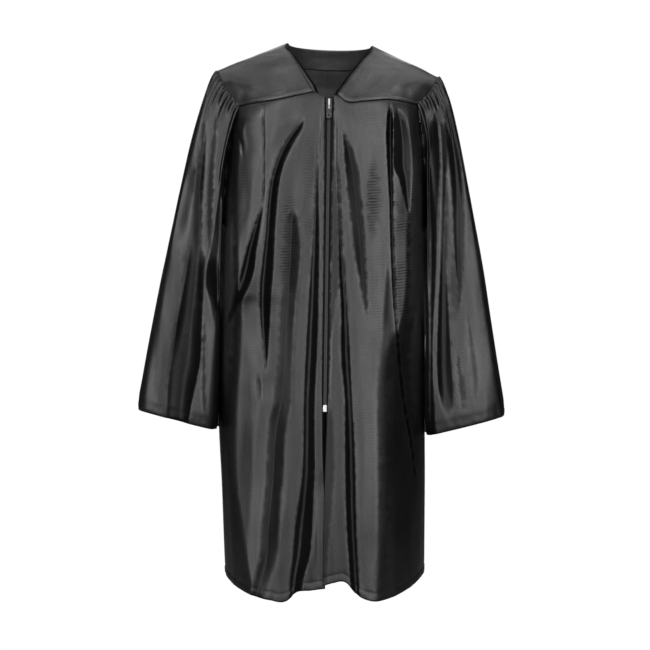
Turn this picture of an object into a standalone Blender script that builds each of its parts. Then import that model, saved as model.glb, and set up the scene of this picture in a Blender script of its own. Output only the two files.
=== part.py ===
"""A child's graduation gown, filled out and hollow: yokes, pleated fronts, gathered back, sleeves and zip.

Metres, +Z up, the front faces -Y. The origin lies between the neck points, where the shoulders hold it up.
"""

import math

import bmesh
import bpy
import numpy as np
from mathutils import Matrix, Vector, kdtree

# Cloth and seams
WALL = 0.0012
TAPE_WALL = 0.0010
SEAM_GAP = 0.0003
PULL_BACK = 0.00022
# The slanting ends of a sleeve and of a facing are pulled back further, as multiples of PULL_BACK
SLEEVE_PULL = 2.5
FACING_PULL = 2.0
# Hard pieces that sit between layers stop short of the cloth's faces by this
LIFT = 0.0001
LEFT, RIGHT = -1, 1

# Heights that the pattern turns on
UNDERARM = -0.225
ZIP_STOP_TOP = -0.4375

# Counts of grid steps
FRONT_COLUMNS = 18
BACK_COLUMNS = 24
ARMHOLE_ROWS = 6
SKIRT_ROWS = 9
YOKE_ROWS = 8
SLEEVE_ROWS = 11
SHOULDER_COLUMNS = 7
# The zip tapes end this many skirt rows below the underarm
TAPE_SKIRT_ROWS = 5
# Above 1, the armhole rows crowd towards the underarm, and the sleeve's rows towards the armhole
ARMHOLE_EASE = 1.4
SLEEVE_EASE = 1.25

# Rings of the body: height, left and right half-width, front and back depth
BODY_RINGS = (
    (-0.040, 0.121, 0.118, 0.066, 0.062),
    (-0.085, 0.125, 0.121, 0.079, 0.073),
    (-0.130, 0.126, 0.122, 0.087, 0.080),
    (-0.225, 0.1275, 0.122, 0.091, 0.086),
    (-0.330, 0.1305, 0.1215, 0.095, 0.091),
    (-0.430, 0.1305, 0.122, 0.098, 0.096),
    (-0.540, 0.125, 0.1235, 0.101, 0.101),
    (-0.670, 0.117, 0.1245, 0.104, 0.106),
)
RING_POWER = 2.3

# Where the armhole seam runs on each panel: height, degrees round the ring from the middle of its face
ARMHOLE_EDGE = {
    ("front", LEFT): (
        (-0.084, 56.7), (-0.115, 66), (-0.145, 72), (-0.172, 75.5), (-0.195, 78.5), (-0.214, 82.5),
        (-0.225, 90),
    ),
    ("front", RIGHT): (
        (-0.079, 58.7), (-0.102, 62), (-0.130, 65.6), (-0.165, 71.5), (-0.195, 77.5), (-0.214, 82.5),
        (-0.225, 90),
    ),
    ("back", LEFT): (
        (-0.098, 61.5), (-0.120, 66), (-0.150, 71.5), (-0.185, 77), (-0.214, 82.5), (-0.225, 90),
    ),
    ("back", RIGHT): (
        (-0.096, 63.4), (-0.120, 66.5), (-0.150, 71), (-0.185, 77), (-0.214, 82.5), (-0.225, 90),
    ),
}

# Top edge of each front, from the zip along the V to the yoke corner: distance from the middle, height
FRONT_TOP = {
    LEFT: (
        (0.004, -0.0775), (0.011, -0.0740), (0.018, -0.0706), (0.032, -0.0725), (0.058, -0.0780),
        (0.107, -0.0840),
    ),
    RIGHT: (
        (0.004, -0.0765), (0.009, -0.0735), (0.020, -0.0805), (0.042, -0.0795), (0.070, -0.0765),
        (0.1055, -0.0790),
    ),
}
# The corner where yoke, V and front meet: its distance from the middle, and the front columns up to it
V_CORNER = {LEFT: 0.018, RIGHT: 0.009}
V_COLUMNS = {LEFT: 2, RIGHT: 1}
TAPE_COLUMNS = {LEFT: 2, RIGHT: 3}

# Half of the gap between the two front edges: height, left, right
FRONT_OPENING = (
    (-0.070, 0.0052, 0.0054),
    (-0.100, 0.0048, 0.0050),
    (-0.150, 0.0042, 0.0040),
    (-0.300, 0.0034, 0.0034),
    (-0.440, 0.0030, 0.0030),
    (-0.480, 0.0020, 0.0020),
    (-0.540, 0.0008, 0.0008),
    (-0.670, 0.0004, 0.0004),
)

# Hem heights: distance from the middle, height
HEM = {
    ("front", LEFT): (
        (0.0, -0.651), (0.013, -0.6530), (0.030, -0.6560), (0.040, -0.6655), (0.062, -0.6660),
        (0.090, -0.6590), (0.110, -0.6520), (0.120, -0.6460),
    ),
    ("front", RIGHT): (
        (0.0, -0.6478), (0.012, -0.6440), (0.027, -0.6430), (0.040, -0.6570), (0.058, -0.6646),
        (0.078, -0.6625), (0.100, -0.6550), (0.124, -0.6420),
    ),
    ("back", LEFT): ((0.0, -0.6500), (0.030, -0.6530), (0.070, -0.6500), (0.120, -0.6460)),
    ("back", RIGHT): ((0.0, -0.6500), (0.030, -0.6470), (0.070, -0.6510), (0.124, -0.6420)),
}
BACK_HEM_REACH = 0.12

# Necks and shoulders
NECK_POINT = {LEFT: (-0.052, 0.0, 0.0), RIGHT: (0.052, 0.0, -0.002)}
SHOULDER_POINT = {LEFT: (-0.137, 0.0, -0.035), RIGHT: (0.132, 0.0, -0.039)}
# Front neck edge between the neck point and the V corner: x, y, z
NECK_EDGE = {
    LEFT: (
        (-0.0545, -0.013, -0.007), (-0.0470, -0.030, -0.0185), (-0.0375, -0.047, -0.034),
        (-0.0275, -0.063, -0.053),
    ),
    RIGHT: (
        (0.0515, -0.013, -0.010), (0.0420, -0.030, -0.023), (0.0310, -0.048, -0.040),
        (0.0195, -0.064, -0.057),
    ),
}
# Armhole edge of each yoke between the shoulder point and the yoke corner: x, y, z
YOKE_ARMHOLE = {
    ("front", LEFT): ((-0.1355, -0.014, -0.0385), (-0.1310, -0.027, -0.0490), (-0.1235, -0.039, -0.0640)),
    ("front", RIGHT): ((0.1310, -0.014, -0.0420), (0.1270, -0.027, -0.0510), (0.1195, -0.039, -0.0640)),
    ("back", LEFT): ((-0.1365, 0.014, -0.0385), (-0.1335, 0.029, -0.0510), (-0.1260, 0.042, -0.0720)),
    ("back", RIGHT): ((0.1315, 0.014, -0.0425), (0.1285, 0.029, -0.0540), (0.1215, 0.042, -0.0730)),
}
BACK_NECK_DEPTH = 0.050
BACK_NECK_DIP = 0.003
BACK_YOKE_SEAM = -0.0965
YOKE_CROWN = 0.005
BACK_YOKE_CROWN = 0.007
BACK_YOKE_BOW_REACH = 0.55

# Folds of the body panels. depth is out (+) or in (-); inner and outer are the half-widths towards the
# middle and towards the side; the path gives height and distance from the middle.
FRONT_FOLDS = {
    LEFT: (
        {"depth": -0.0080, "inner": 0.013, "outer": 0.013,
         "path": ((-0.104, 0.027), (-0.135, 0.048), (-0.165, 0.062), (-0.200, 0.070), (-0.300, 0.073),
                  (-0.400, 0.068))},
        {"depth": -0.0040, "inner": 0.014, "outer": 0.014,
         "path": ((-0.205, 0.074), (-0.264, 0.092), (-0.330, 0.110))},
        {"depth": 0.0045, "inner": 0.014, "outer": 0.018,
         "path": ((-0.280, 0.092), (-0.375, 0.090), (-0.491, 0.087), (-0.680, 0.090))},
        {"depth": -0.0075, "inner": 0.013, "outer": 0.014,
         "path": ((-0.215, 0.050), (-0.317, 0.053), (-0.433, 0.058), (-0.514, 0.062), (-0.595, 0.067),
                  (-0.680, 0.074))},
        {"depth": 0.0070, "inner": 0.013, "outer": 0.018,
         "path": ((-0.150, 0.026), (-0.247, 0.030), (-0.316, 0.034), (-0.432, 0.034), (-0.513, 0.038),
                  (-0.680, 0.046))},
        {"depth": -0.0050, "inner": 0.010, "outer": 0.010,
         "path": ((-0.150, 0.013), (-0.316, 0.018), (-0.490, 0.016), (-0.680, 0.020))},
    ),
    RIGHT: (
        {"depth": -0.0060, "inner": 0.010, "outer": 0.013,
         "path": ((-0.130, 0.013), (-0.234, 0.017), (-0.397, 0.024), (-0.490, 0.026), (-0.680, 0.029))},
        {"depth": -0.0060, "inner": 0.012, "outer": 0.013,
         "path": ((-0.100, 0.016), (-0.162, 0.028), (-0.210, 0.035), (-0.269, 0.042), (-0.345, 0.050))},
        {"depth": 0.0065, "inner": 0.018, "outer": 0.022,
         "path": ((-0.320, 0.050), (-0.385, 0.050), (-0.489, 0.051), (-0.680, 0.055))},
        {"depth": 0.0040, "inner": 0.018, "outer": 0.013,
         "path": ((-0.090, 0.064), (-0.197, 0.066), (-0.315, 0.073), (-0.432, 0.084), (-0.500, 0.096))},
        {"depth": -0.0050, "inner": 0.012, "outer": 0.016,
         "path": ((-0.090, 0.085), (-0.197, 0.085), (-0.315, 0.092), (-0.432, 0.102), (-0.500, 0.110))},
    ),
}
BACK_FOLDS = {
    LEFT: (
        {"depth": -0.0065, "inner": 0.012, "outer": 0.012,
         "path": ((-0.115, 0.020), (-0.300, 0.026), (-0.500, 0.030), (-0.680, 0.032))},
        {"depth": 0.0070, "inner": 0.015, "outer": 0.015,
         "path": ((-0.140, 0.050), (-0.350, 0.054), (-0.680, 0.058))},
        {"depth": -0.0075, "inner": 0.013, "outer": 0.014,
         "path": ((-0.180, 0.076), (-0.400, 0.082), (-0.680, 0.086))},
    ),
    RIGHT: (
        {"depth": 0.0060, "inner": 0.013, "outer": 0.013,
         "path": ((-0.125, 0.004), (-0.350, 0.008), (-0.680, 0.006))},
        {"depth": -0.0070, "inner": 0.013, "outer": 0.013,
         "path": ((-0.120, 0.034), (-0.300, 0.036), (-0.680, 0.040))},
        {"depth": 0.0065, "inner": 0.014, "outer": 0.014,
         "path": ((-0.150, 0.062), (-0.400, 0.066), (-0.680, 0.070))},
        {"depth": -0.0070, "inner": 0.013, "outer": 0.014,
         "path": ((-0.210, 0.088), (-0.400, 0.092), (-0.680, 0.096))},
    ),
}
# How fast folds fade: along their path, below a seam, beside a side seam and from the zip on
FOLD_FADE = 0.035
SEAM_FADE = 0.020
SIDE_FADE = 0.028
EDGE_FLAT = 0.004
EDGE_FADE = 0.009

# Sleeves. The hem is an oval on a slope: centre, half-widths across and along, height at the middle
SLEEVE_HEM = {
    LEFT: {"x": -0.1775, "y": 0.008, "across": 0.0520, "along": 0.084, "height": -0.4600, "slope": 0.24},
    RIGHT: {"x": 0.1690, "y": 0.008, "across": 0.0515, "along": 0.084, "height": -0.4630, "slope": 0.26},
}
SLEEVE_HEM_POWER = 2.7
# How close the sleeve's inner side comes to the body, and the share of the sleeve over which it gets there
BODY_CLEARANCE = 0.0032
CLEARANCE_IN = 0.12
CLEARANCE_TOP = 0.012
# How each rib leaves the armhole and reaches the hem: turn round the arm (0 outside, 0.25 front,
# 0.5 underarm), outward, forward and upward run at the armhole, then the same at the hem
SLEEVE_RIBS = (
    (0.000, 0.024, 0.000, -0.008, -0.024, 0.000, 0.127),
    (0.125, 0.026, 0.016, -0.012, -0.020, -0.006, 0.125),
    (0.250, 0.024, 0.024, -0.016, -0.014, -0.012, 0.125),
    (0.375, 0.008, 0.022, -0.016, -0.016, -0.004, 0.120),
    (0.500, 0.030, 0.000, 0.010, 0.000, 0.000, 0.130),
    (0.625, 0.014, -0.020, -0.012, -0.014, 0.006, 0.120),
    (0.750, 0.024, -0.024, -0.016, -0.014, 0.012, 0.125),
    (0.875, 0.026, -0.016, -0.012, -0.020, 0.006, 0.125),
)
# Folds of the sleeves: depth, half-width in turns, start and end along the sleeve, turn at start and end
SLEEVE_FOLDS = {
    LEFT: (
        (0.0050, 0.045, 0.15, 1.20, 0.395, 0.425),
        (-0.0080, 0.060, 0.12, 1.20, 0.300, 0.325),
        (0.0050, 0.060, 0.20, 1.20, 0.190, 0.215),
        (-0.0060, 0.060, 0.20, 1.20, 0.080, 0.100),
        (-0.0060, 0.055, 0.15, 1.20, 0.700, 0.690),
        (0.0050, 0.055, 0.15, 1.20, 0.800, 0.790),
        (-0.0050, 0.055, 0.20, 1.20, 0.890, 0.880),
    ),
    RIGHT: (
        (-0.0060, 0.040, 0.12, 1.20, 0.370, 0.375),
        (0.0045, 0.040, 0.20, 1.20, 0.310, 0.300),
        (-0.0075, 0.050, 0.10, 1.20, 0.235, 0.240),
        (0.0050, 0.050, 0.10, 1.20, 0.150, 0.180),
        (-0.0060, 0.060, 0.20, 1.20, 0.060, 0.080),
        (-0.0060, 0.055, 0.15, 1.20, 0.670, 0.680),
        (0.0050, 0.055, 0.15, 1.20, 0.770, 0.780),
        (-0.0050, 0.055, 0.20, 1.20, 0.860, 0.870),
    ),
}
# A sleeve fold grows in over this share of the sleeve, and fades out over the other
SLEEVE_FOLD_IN = 0.25
SLEEVE_FOLD_OUT = 0.20

# Neck facing: how many of the yokes' steps it covers
FACING_COLUMNS = 4
FACING_BACK_ROWS = 2
FACING_BACK_REACH = 2
# How far the facing stands past the left V edge: place along the edge, distance
FACING_PEEK = ((0.0, 0.0), (0.35, 0.0010), (0.70, 0.0040), (0.90, 0.0050), (1.0, 0.0030))

# Zip
TAPE_INNER = 0.0021
TAPE_SINK = WALL + 0.0005
COIL_HALF_WIDTH = 0.0017
COIL_PROUD = 0.0004
COIL_TOP = -0.0925
SLIDER_TOP = -0.0790
SLIDER_WIDTH = 0.0075
SLIDER_LENGTH = 0.0125
SLIDER_THICK = 0.0026
SLIDER_ROUND = 0.0007
BRIDGE_WIDTH = 0.0014
BRIDGE_BAR = 0.0011
BRIDGE_LENGTH = 0.0085
BRIDGE_FOOT = 0.0010
BRIDGE_CHAMFER = 0.0006
SLOT_HEIGHT = 0.0018
TAB_THICK = 0.0010
TAB_WIDTH = 0.0060
TAB_LENGTH = 0.0165
TAB_ROUND = 0.0012
TAB_BAR = 0.0010
EYE_WIDTH = 0.0032
EYE_LENGTH = 0.0042
EYE_ROUND = 0.0004
TAB_HOLE_RADIUS = 0.0011
TAB_HOLE_UP = 0.0032
STOP_LENGTH = 0.0090
STOP_WIDTH = 0.0044
STOP_THICK = 0.0018
STOP_ROUND = 0.0006
# The slope of the front at a height is read over this step
SLOPE_STEP = 0.02


def smooth(place, table, column=1):
    """A smooth curve through one column of a table whose first column rises or falls steadily."""
    at = np.array([row[0] for row in table], float)
    value = np.array([row[column] for row in table], float)
    if at[0] > at[-1]:
        at, value = at[::-1], value[::-1]
    slope = np.gradient(value, at)
    place = np.clip(np.asarray(place, float), at[0], at[-1])
    i = np.clip(np.searchsorted(at, place) - 1, 0, len(at) - 2)
    step = at[i + 1] - at[i]
    t = (place - at[i]) / step
    rise = (2 * t**3 - 3 * t**2 + 1) * value[i] + (-2 * t**3 + 3 * t**2) * value[i + 1]
    return rise + step * ((t**3 - 2 * t**2 + t) * slope[i] + (t**3 - t**2) * slope[i + 1])


def ease(value):
    """0 below 0, 1 above 1, smooth between."""
    value = np.clip(value, 0.0, 1.0)
    return value * value * (3 - 2 * value)


def ring_sizes(side, face, height):
    """Half-width and depth of the body's ring at a height."""
    width = smooth(height, BODY_RINGS, 1 if side == LEFT else 2)
    depth = smooth(height, BODY_RINGS, 3 if face == "front" else 4)
    return width, depth


def ring_angle(distance, width):
    """The angle from the middle of a ring at which it is this far to the side."""
    share = np.clip(distance / width, 0.0, 1.0) ** (RING_POWER / 2)
    return np.arcsin(share)


def fold_depth(folds, distance, height):
    """How far all folds move the cloth in or out at a place on a panel."""
    total = np.zeros(np.broadcast(distance, height).shape)
    for fold in folds:
        path = fold["path"]
        offset = distance - smooth(height, path)
        half = np.where(offset < 0, fold["inner"], fold["outer"])
        across = 0.5 + 0.5 * np.cos(np.pi * np.clip(offset / half, -1, 1))
        start = ease((path[0][0] - height) / FOLD_FADE)
        end = ease((height - path[-1][0]) / FOLD_FADE)
        total = total + fold["depth"] * across * start * end
    return total


def on_ring(side, face, angle, height, folds, top, edge):
    """Points of a body panel. top and edge are the heights and angles where its folds fade out."""
    width, depth = ring_sizes(side, face, height)
    out = side * np.sin(angle) ** (2 / RING_POWER)
    ahead = np.abs(np.cos(angle)) ** (2 / RING_POWER)
    facing = -1 if face == "front" else 1
    normal = np.stack([out * depth, facing * ahead * width], -1)
    normal = normal / np.linalg.norm(normal, axis=-1, keepdims=True)
    distance = np.abs(out) * width
    shift = fold_depth(folds, distance, height)
    shift = shift * ease((top - height) / SEAM_FADE) * ease((edge - angle) * width / SIDE_FADE)
    if face == "front":
        shift = shift * ease((distance - EDGE_FLAT) / EDGE_FADE)
    x = out * width + shift * normal[..., 0]
    y = facing * ahead * depth + shift * normal[..., 1]
    return np.stack([x, y, np.broadcast_to(height, x.shape)], -1)


def row_height(top, hem, row):
    """Height of a row of a body panel: the armhole rows end level with the underarm."""
    if row <= ARMHOLE_ROWS:
        return top + (UNDERARM - top) * (1 - (1 - row / ARMHOLE_ROWS) ** ARMHOLE_EASE)
    return UNDERARM + (hem - UNDERARM) * (row - ARMHOLE_ROWS) / SKIRT_ROWS


def edge_angle(side, face, height):
    """The angle of a panel's outer edge: on the armhole seam, then on the side seam."""
    return np.radians(smooth(height, ARMHOLE_EDGE[face, side]))


def front_angle(side, share, height):
    """The angle of a front column at a height: share 0 at the zip, 1 at the outer edge."""
    width, _ = ring_sizes(side, "front", height)
    first = ring_angle(smooth(height, FRONT_OPENING, 1 if side == LEFT else 2), width)
    last = edge_angle(side, "front", height)
    return first + (last - first) * share


def front_shares(side):
    """The places of the front's columns: one of them meets the V corner."""
    height = float(smooth(V_CORNER[side], FRONT_TOP[side]))
    first, last = (float(front_angle(side, share, height)) for share in (0, 1))
    width, _ = ring_sizes(side, "front", height)
    corner = (float(ring_angle(V_CORNER[side], width)) - first) / (last - first)
    inner = np.linspace(0, corner, V_COLUMNS[side] + 1)
    outer = np.linspace(corner, 1, FRONT_COLUMNS - V_COLUMNS[side] + 1)
    return np.concatenate([inner, outer[1:]])


def settle(height_of, first):
    """Finds the height that fits a curve which itself depends on the height."""
    height = first
    for _ in range(30):
        height = 0.5 * height + 0.5 * height_of(height)
    return height


def front_grid(side):
    """Rows and columns of a front panel, from the top edge to the hem and from the zip to the side."""
    shares = front_shares(side)

    def reach(height):
        width, _ = ring_sizes(side, "front", height)
        return width * np.sin(front_angle(side, shares, height)) ** (2 / RING_POWER)

    top = settle(lambda height: smooth(reach(height), FRONT_TOP[side]), np.full(shares.shape, -0.078))
    hem = settle(lambda height: smooth(reach(height), HEM["front", side]), np.full(shares.shape, -0.650))
    rows = []
    for row in range(ARMHOLE_ROWS + SKIRT_ROWS + 1):
        height = row_height(top, hem, row)
        angle = front_angle(side, shares, height)
        edge = edge_angle(side, "front", height)
        rows.append(on_ring(side, "front", angle, height, FRONT_FOLDS[side], top, edge))
    return np.array(rows)


def back_grid():
    """Rows and columns of the back, from the yoke seam to the hem and from the left side to the right."""
    half = BACK_COLUMNS // 2
    rows = []
    for row in range(ARMHOLE_ROWS + SKIRT_ROWS + 1):
        halves = []
        for side in (LEFT, RIGHT):
            shares = np.linspace(0, 1, half + 1)
            top = BACK_YOKE_SEAM + (ARMHOLE_EDGE["back", side][0][0] - BACK_YOKE_SEAM) * shares
            hem = smooth(shares * BACK_HEM_REACH, HEM["back", side])
            height = row_height(top, hem, row)
            edge = edge_angle(side, "back", height)
            halves.append(on_ring(side, "back", edge * shares, height, BACK_FOLDS[side], top, edge))
        rows.append(np.concatenate([halves[0][::-1], halves[1][1:]]))
    return np.array(rows)


def curve_through(points, count):
    """Even steps along a smooth curve through a few points."""
    points = np.array(points, float)
    along = np.concatenate([[0], np.cumsum(np.linalg.norm(np.diff(points, axis=0), axis=1))])
    places = np.linspace(0, along[-1], count + 1)
    table = np.column_stack([along, points])
    return np.stack([smooth(places, table, axis) for axis in (1, 2, 3)], -1)


def between(first_row, last_row, first_column, last_column, first_weight, last_weight):
    """A sheet between four edges. The weights say how far in the bow of each outer column is felt."""
    down = np.linspace(0, 1, len(first_column))[:, None]
    ruled = (1 - down[..., None]) * first_row + down[..., None] * last_row
    first_bow = first_column - (1 - down) * first_column[0] - down * first_column[-1]
    last_bow = last_column - (1 - down) * last_column[0] - down * last_column[-1]
    return ruled + first_bow[:, None] * first_weight[:, None] + last_bow[:, None] * last_weight[:, None]


def front_yoke_grid(side, seam):
    """Rows from the shoulder seam to the yoke seam, columns from the neck edge to the armhole."""
    neck = curve_through((NECK_POINT[side],) + NECK_EDGE[side] + (seam[0],), YOKE_ROWS)
    armhole = curve_through((SHOULDER_POINT[side],) + YOKE_ARMHOLE["front", side] + (seam[-1],), YOKE_ROWS)
    shoulder = np.linspace(NECK_POINT[side], SHOULDER_POINT[side], len(seam))
    across = np.linspace(0, 1, len(seam))
    grid = between(shoulder, seam, neck, armhole, 1 - across, across)
    down = np.linspace(0, 1, YOKE_ROWS + 1)[:, None]
    grid[..., 2] += YOKE_CROWN * np.sin(np.pi * down) * np.sin(np.pi * across)
    return grid


def back_yoke_grid(seam):
    """Rows from the shoulders and back neck to the yoke seam, columns from the left armhole to the right."""
    left, right = (np.array(NECK_POINT[side]) for side in (LEFT, RIGHT))
    steps = BACK_COLUMNS - 2 * SHOULDER_COLUMNS
    turn = np.linspace(0, math.pi, steps + 1)
    share = (1 - np.cos(turn))[:, None] / 2
    neck = left + (right - left) * share
    neck[:, 1] = BACK_NECK_DEPTH * np.sin(turn) ** 0.8
    neck[:, 2] -= BACK_NECK_DIP * np.sin(turn)
    first = np.linspace(SHOULDER_POINT[LEFT], left, SHOULDER_COLUMNS + 1)
    last = np.linspace(right, SHOULDER_POINT[RIGHT], SHOULDER_COLUMNS + 1)
    top = np.concatenate([first[:-1], neck, last[1:]])
    edges = [
        curve_through((SHOULDER_POINT[side],) + YOKE_ARMHOLE["back", side] + (corner,), YOKE_ROWS)
        for side, corner in ((LEFT, seam[0]), (RIGHT, seam[-1]))
    ]
    across = np.linspace(0, 1, BACK_COLUMNS + 1)
    reach = BACK_YOKE_BOW_REACH
    grid = between(top, seam, edges[0], edges[1], ease(1 - across / reach), ease(1 - (1 - across) / reach))
    down = np.linspace(0, 1, YOKE_ROWS + 1)[:, None]
    grid[..., 1] += BACK_YOKE_CROWN * np.sin(np.pi * down) * np.sin(np.pi * across)
    return grid


def clear_of_body(side, rib, t):
    """Moves the inner side of one ring of a sleeve out to where it just clears the body."""
    ahead, height = rib[:, 1], rib[:, 2]
    width, front = ring_sizes(side, "front", height)
    depth = np.where(ahead < 0, front, ring_sizes(side, "back", height)[1])
    reach = width * (1 - np.clip(np.abs(ahead) / depth, 0, 1) ** RING_POWER) ** (1 / RING_POWER)
    distance = rib[:, 0] * side
    below = (height < UNDERARM + CLEARANCE_TOP) & (t > 0)
    near = reach + BODY_CLEARANCE * ease(t / CLEARANCE_IN)
    rib = rib.copy()
    rib[:, 0] = np.where(below, np.maximum(distance, near), distance) * side
    return rib


def sleeve_grid(side, armhole):
    """Rows from the armhole to the hem, columns round the arm from the shoulder over the front."""
    count = len(armhole)
    turn = np.arange(count) / count
    table = SLEEVE_RIBS + ((1.0,) + SLEEVE_RIBS[0][1:],)
    leave = np.stack([smooth(turn, table, axis) for axis in (1, 2, 3)], -1) * (side, -1, 1)
    reach = np.stack([smooth(turn, table, axis) for axis in (4, 5, 6)], -1) * (side, -1, 1)
    oval = SLEEVE_HEM[side]
    out, ahead = np.cos(2 * np.pi * turn), np.sin(2 * np.pi * turn)
    out = np.sign(out) * np.abs(out) ** (2 / SLEEVE_HEM_POWER)
    ahead = np.sign(ahead) * np.abs(ahead) ** (2 / SLEEVE_HEM_POWER)
    hem = np.stack(
        [
            oval["x"] + side * oval["across"] * out,
            oval["y"] - oval["along"] * ahead,
            oval["height"] + oval["slope"] * oval["across"] * out,
        ],
        -1,
    )
    rows = []
    for row in range(SLEEVE_ROWS + 1):
        t = (row / SLEEVE_ROWS) ** SLEEVE_EASE
        rib = (1 - t) ** 3 * armhole + 3 * t * (1 - t) ** 2 * (armhole + leave)
        rib = rib + 3 * t**2 * (1 - t) * (hem + reach) + t**3 * hem
        middle = rib.mean(axis=0)
        away = (rib - middle) * (1, 1, 0)
        away = away / np.linalg.norm(away, axis=1, keepdims=True)
        shift = np.zeros(count)
        for depth, half, start, end, from_turn, to_turn in SLEEVE_FOLDS[side]:
            offset = turn - (from_turn + (to_turn - from_turn) * t)
            across = 0.5 + 0.5 * np.cos(np.pi * np.clip(offset / half, -1, 1))
            shift += depth * across * ease((t - start) / SLEEVE_FOLD_IN) * ease((end - t) / SLEEVE_FOLD_OUT)
        rows.append(clear_of_body(side, rib + away * shift[:, None], t))
    return np.array(rows)


def vertex_normals(grid, closed=False):
    """Unit normals at the points of a grid: the cross product of its way down and its way across."""
    if closed:
        across = np.roll(grid, -1, axis=1) - np.roll(grid, 1, axis=1)
    else:
        across = np.gradient(grid, axis=1)
    down = np.gradient(grid, axis=0)
    normal = np.cross(down, across)
    return normal / np.linalg.norm(normal, axis=-1, keepdims=True)


def shared_normals(panels):
    """Gives all panels that meet at a point the same normal there, so that their walls are mitred."""
    points = np.concatenate([panel["grid"].reshape(-1, 3) for panel in panels.values()])
    normals = np.concatenate([panel["normals"].reshape(-1, 3) for panel in panels.values()])
    tree = kdtree.KDTree(len(points))
    for index, point in enumerate(points):
        tree.insert(point, index)
    tree.balance()
    shared = np.array([sum(normals[i] for _, i, _ in tree.find_range(point, 1e-6)) for point in points])
    on_shoulder = (np.abs(points[:, 1]) < 1e-6) & (points[:, 2] > UNDERARM / 2)
    shared[on_shoulder, 1] = 0.0
    shared = shared / np.linalg.norm(shared, axis=1, keepdims=True)
    first = 0
    for panel in panels.values():
        size = panel["grid"][..., 0].size
        panel["normals"] = shared[first : first + size].reshape(panel["grid"].shape)
        first += size


def pulled_back(grid, edges, by=PULL_BACK):
    """Moves the named edges of a grid into the panel, which opens the seam gap."""
    grid = grid.copy()
    for edge in edges:
        rows = grid if edge in ("top", "bottom") else grid.transpose(1, 0, 2)
        at, inside = (0, 1) if edge in ("top", "first") else (-1, -2)
        step = rows[inside] - rows[at]
        rows[at] += step / np.linalg.norm(step, axis=1, keepdims=True) * by
    return grid


def principled(name, colour, roughness, metallic=0.0):
    """A plain material."""
    material = bpy.data.materials.new(name)
    material.use_nodes = True
    shader = material.node_tree.nodes["Principled BSDF"]
    shader.inputs["Base Color"].default_value = (*colour, 1.0)
    shader.inputs["Roughness"].default_value = roughness
    shader.inputs["Metallic"].default_value = metallic
    return material


def new_object(name, bm, material, matrix=None):
    """Puts a finished bmesh in the scene under its own name."""
    mesh = bpy.data.meshes.new(name)
    bm.to_mesh(mesh)
    bm.free()
    mesh.materials.append(material)
    obj = bpy.data.objects.new(name, mesh)
    if matrix is not None:
        obj.matrix_world = matrix
    bpy.data.collections["graduation_gown"].objects.link(obj)
    return obj


def face_outwards(bm):
    """Turns the faces of a closed shape outwards."""
    bmesh.ops.recalc_face_normals(bm, faces=bm.faces)
    if bm.calc_volume(signed=True) < 0:
        bmesh.ops.reverse_faces(bm, faces=bm.faces)


def cloth(name, grid, normals, material, wall=WALL, sink=0.0, closed=False):
    """A wall of cloth: its outer side lies sink below the grid, its inner side a wall further in."""
    rows, columns = grid.shape[:2]
    outer = grid - normals * sink
    inner = outer - normals * wall
    if closed:
        outer = np.concatenate([outer, outer[:, :1]], axis=1)
        inner = np.concatenate([inner, inner[:, :1]], axis=1)
        columns += 1
    bm = bmesh.new()
    bmesh.ops.create_grid(bm, x_segments=columns - 1, y_segments=rows - 1, size=0.5)
    place = bm.verts.layers.int.new("place")
    for vert in bm.verts:
        column = round((vert.co.x + 0.5) * (columns - 1))
        row = round((0.5 - vert.co.y) * (rows - 1))
        vert[place] = row * columns + column
        vert.co = outer[row, column]
    if closed:
        bmesh.ops.remove_doubles(bm, verts=bm.verts, dist=1e-6)
    grown = bmesh.ops.extrude_face_region(bm, geom=bm.faces[:], use_keep_orig=True)
    flat = inner.reshape(-1, 3)
    for item in grown["geom"]:
        if isinstance(item, bmesh.types.BMVert):
            item.co = flat[item[place]]
    face_outwards(bm)
    return new_object(name, bm, material)


def body_panels():
    """Every panel of the shell with its grid, its normals and the edges that are seams."""
    grids = {
        "front_left": front_grid(LEFT),
        "front_right": front_grid(RIGHT),
        "back": back_grid(),
    }
    for side, name in ((LEFT, "left"), (RIGHT, "right")):
        grids["yoke_front_" + name] = front_yoke_grid(side, grids["front_" + name][0, V_COLUMNS[side] :])
    grids["yoke_back"] = back_yoke_grid(grids["back"][0])
    for side, name in ((LEFT, "left"), (RIGHT, "right")):
        back_column = 0 if side == LEFT else -1
        loop = (
            list(grids["yoke_front_" + name][:, -1])
            + list(grids["front_" + name][1 : ARMHOLE_ROWS + 1, -1])
            + list(grids["back"][:ARMHOLE_ROWS, back_column][::-1])
            + list(grids["yoke_back"][1:-1, back_column][::-1])
        )
        grids["sleeve_" + name] = sleeve_grid(side, np.array(loop))
    # Columns run one way on the left and the other way on the right, so their normals differ in sign.
    outward = {
        "front_left": -1, "front_right": 1, "back": -1, "yoke_front_left": -1, "yoke_front_right": 1,
        "yoke_back": -1, "sleeve_left": 1, "sleeve_right": -1,
    }
    panels = {}
    for name, grid in grids.items():
        normals = vertex_normals(grid, closed=name.startswith("sleeve")) * outward[name]
        panels[name] = {"grid": grid, "normals": normals}
    return panels


def build_cloth(panels, satin):
    """The eight panels of the shell."""
    seams = {
        "front_left": ("top", "last"),
        "front_right": ("top", "last"),
        "back": ("top", "first", "last"),
        "yoke_front_left": ("top", "bottom", "last"),
        "yoke_front_right": ("top", "bottom", "last"),
        "yoke_back": ("top", "bottom", "first", "last"),
        "sleeve_left": ("top",),
        "sleeve_right": ("top",),
    }
    for name, panel in panels.items():
        tube = name.startswith("sleeve")
        by = PULL_BACK * (SLEEVE_PULL if tube else 1)
        cloth(name, pulled_back(panel["grid"], seams[name], by), panel["normals"], satin, closed=tube)


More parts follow.
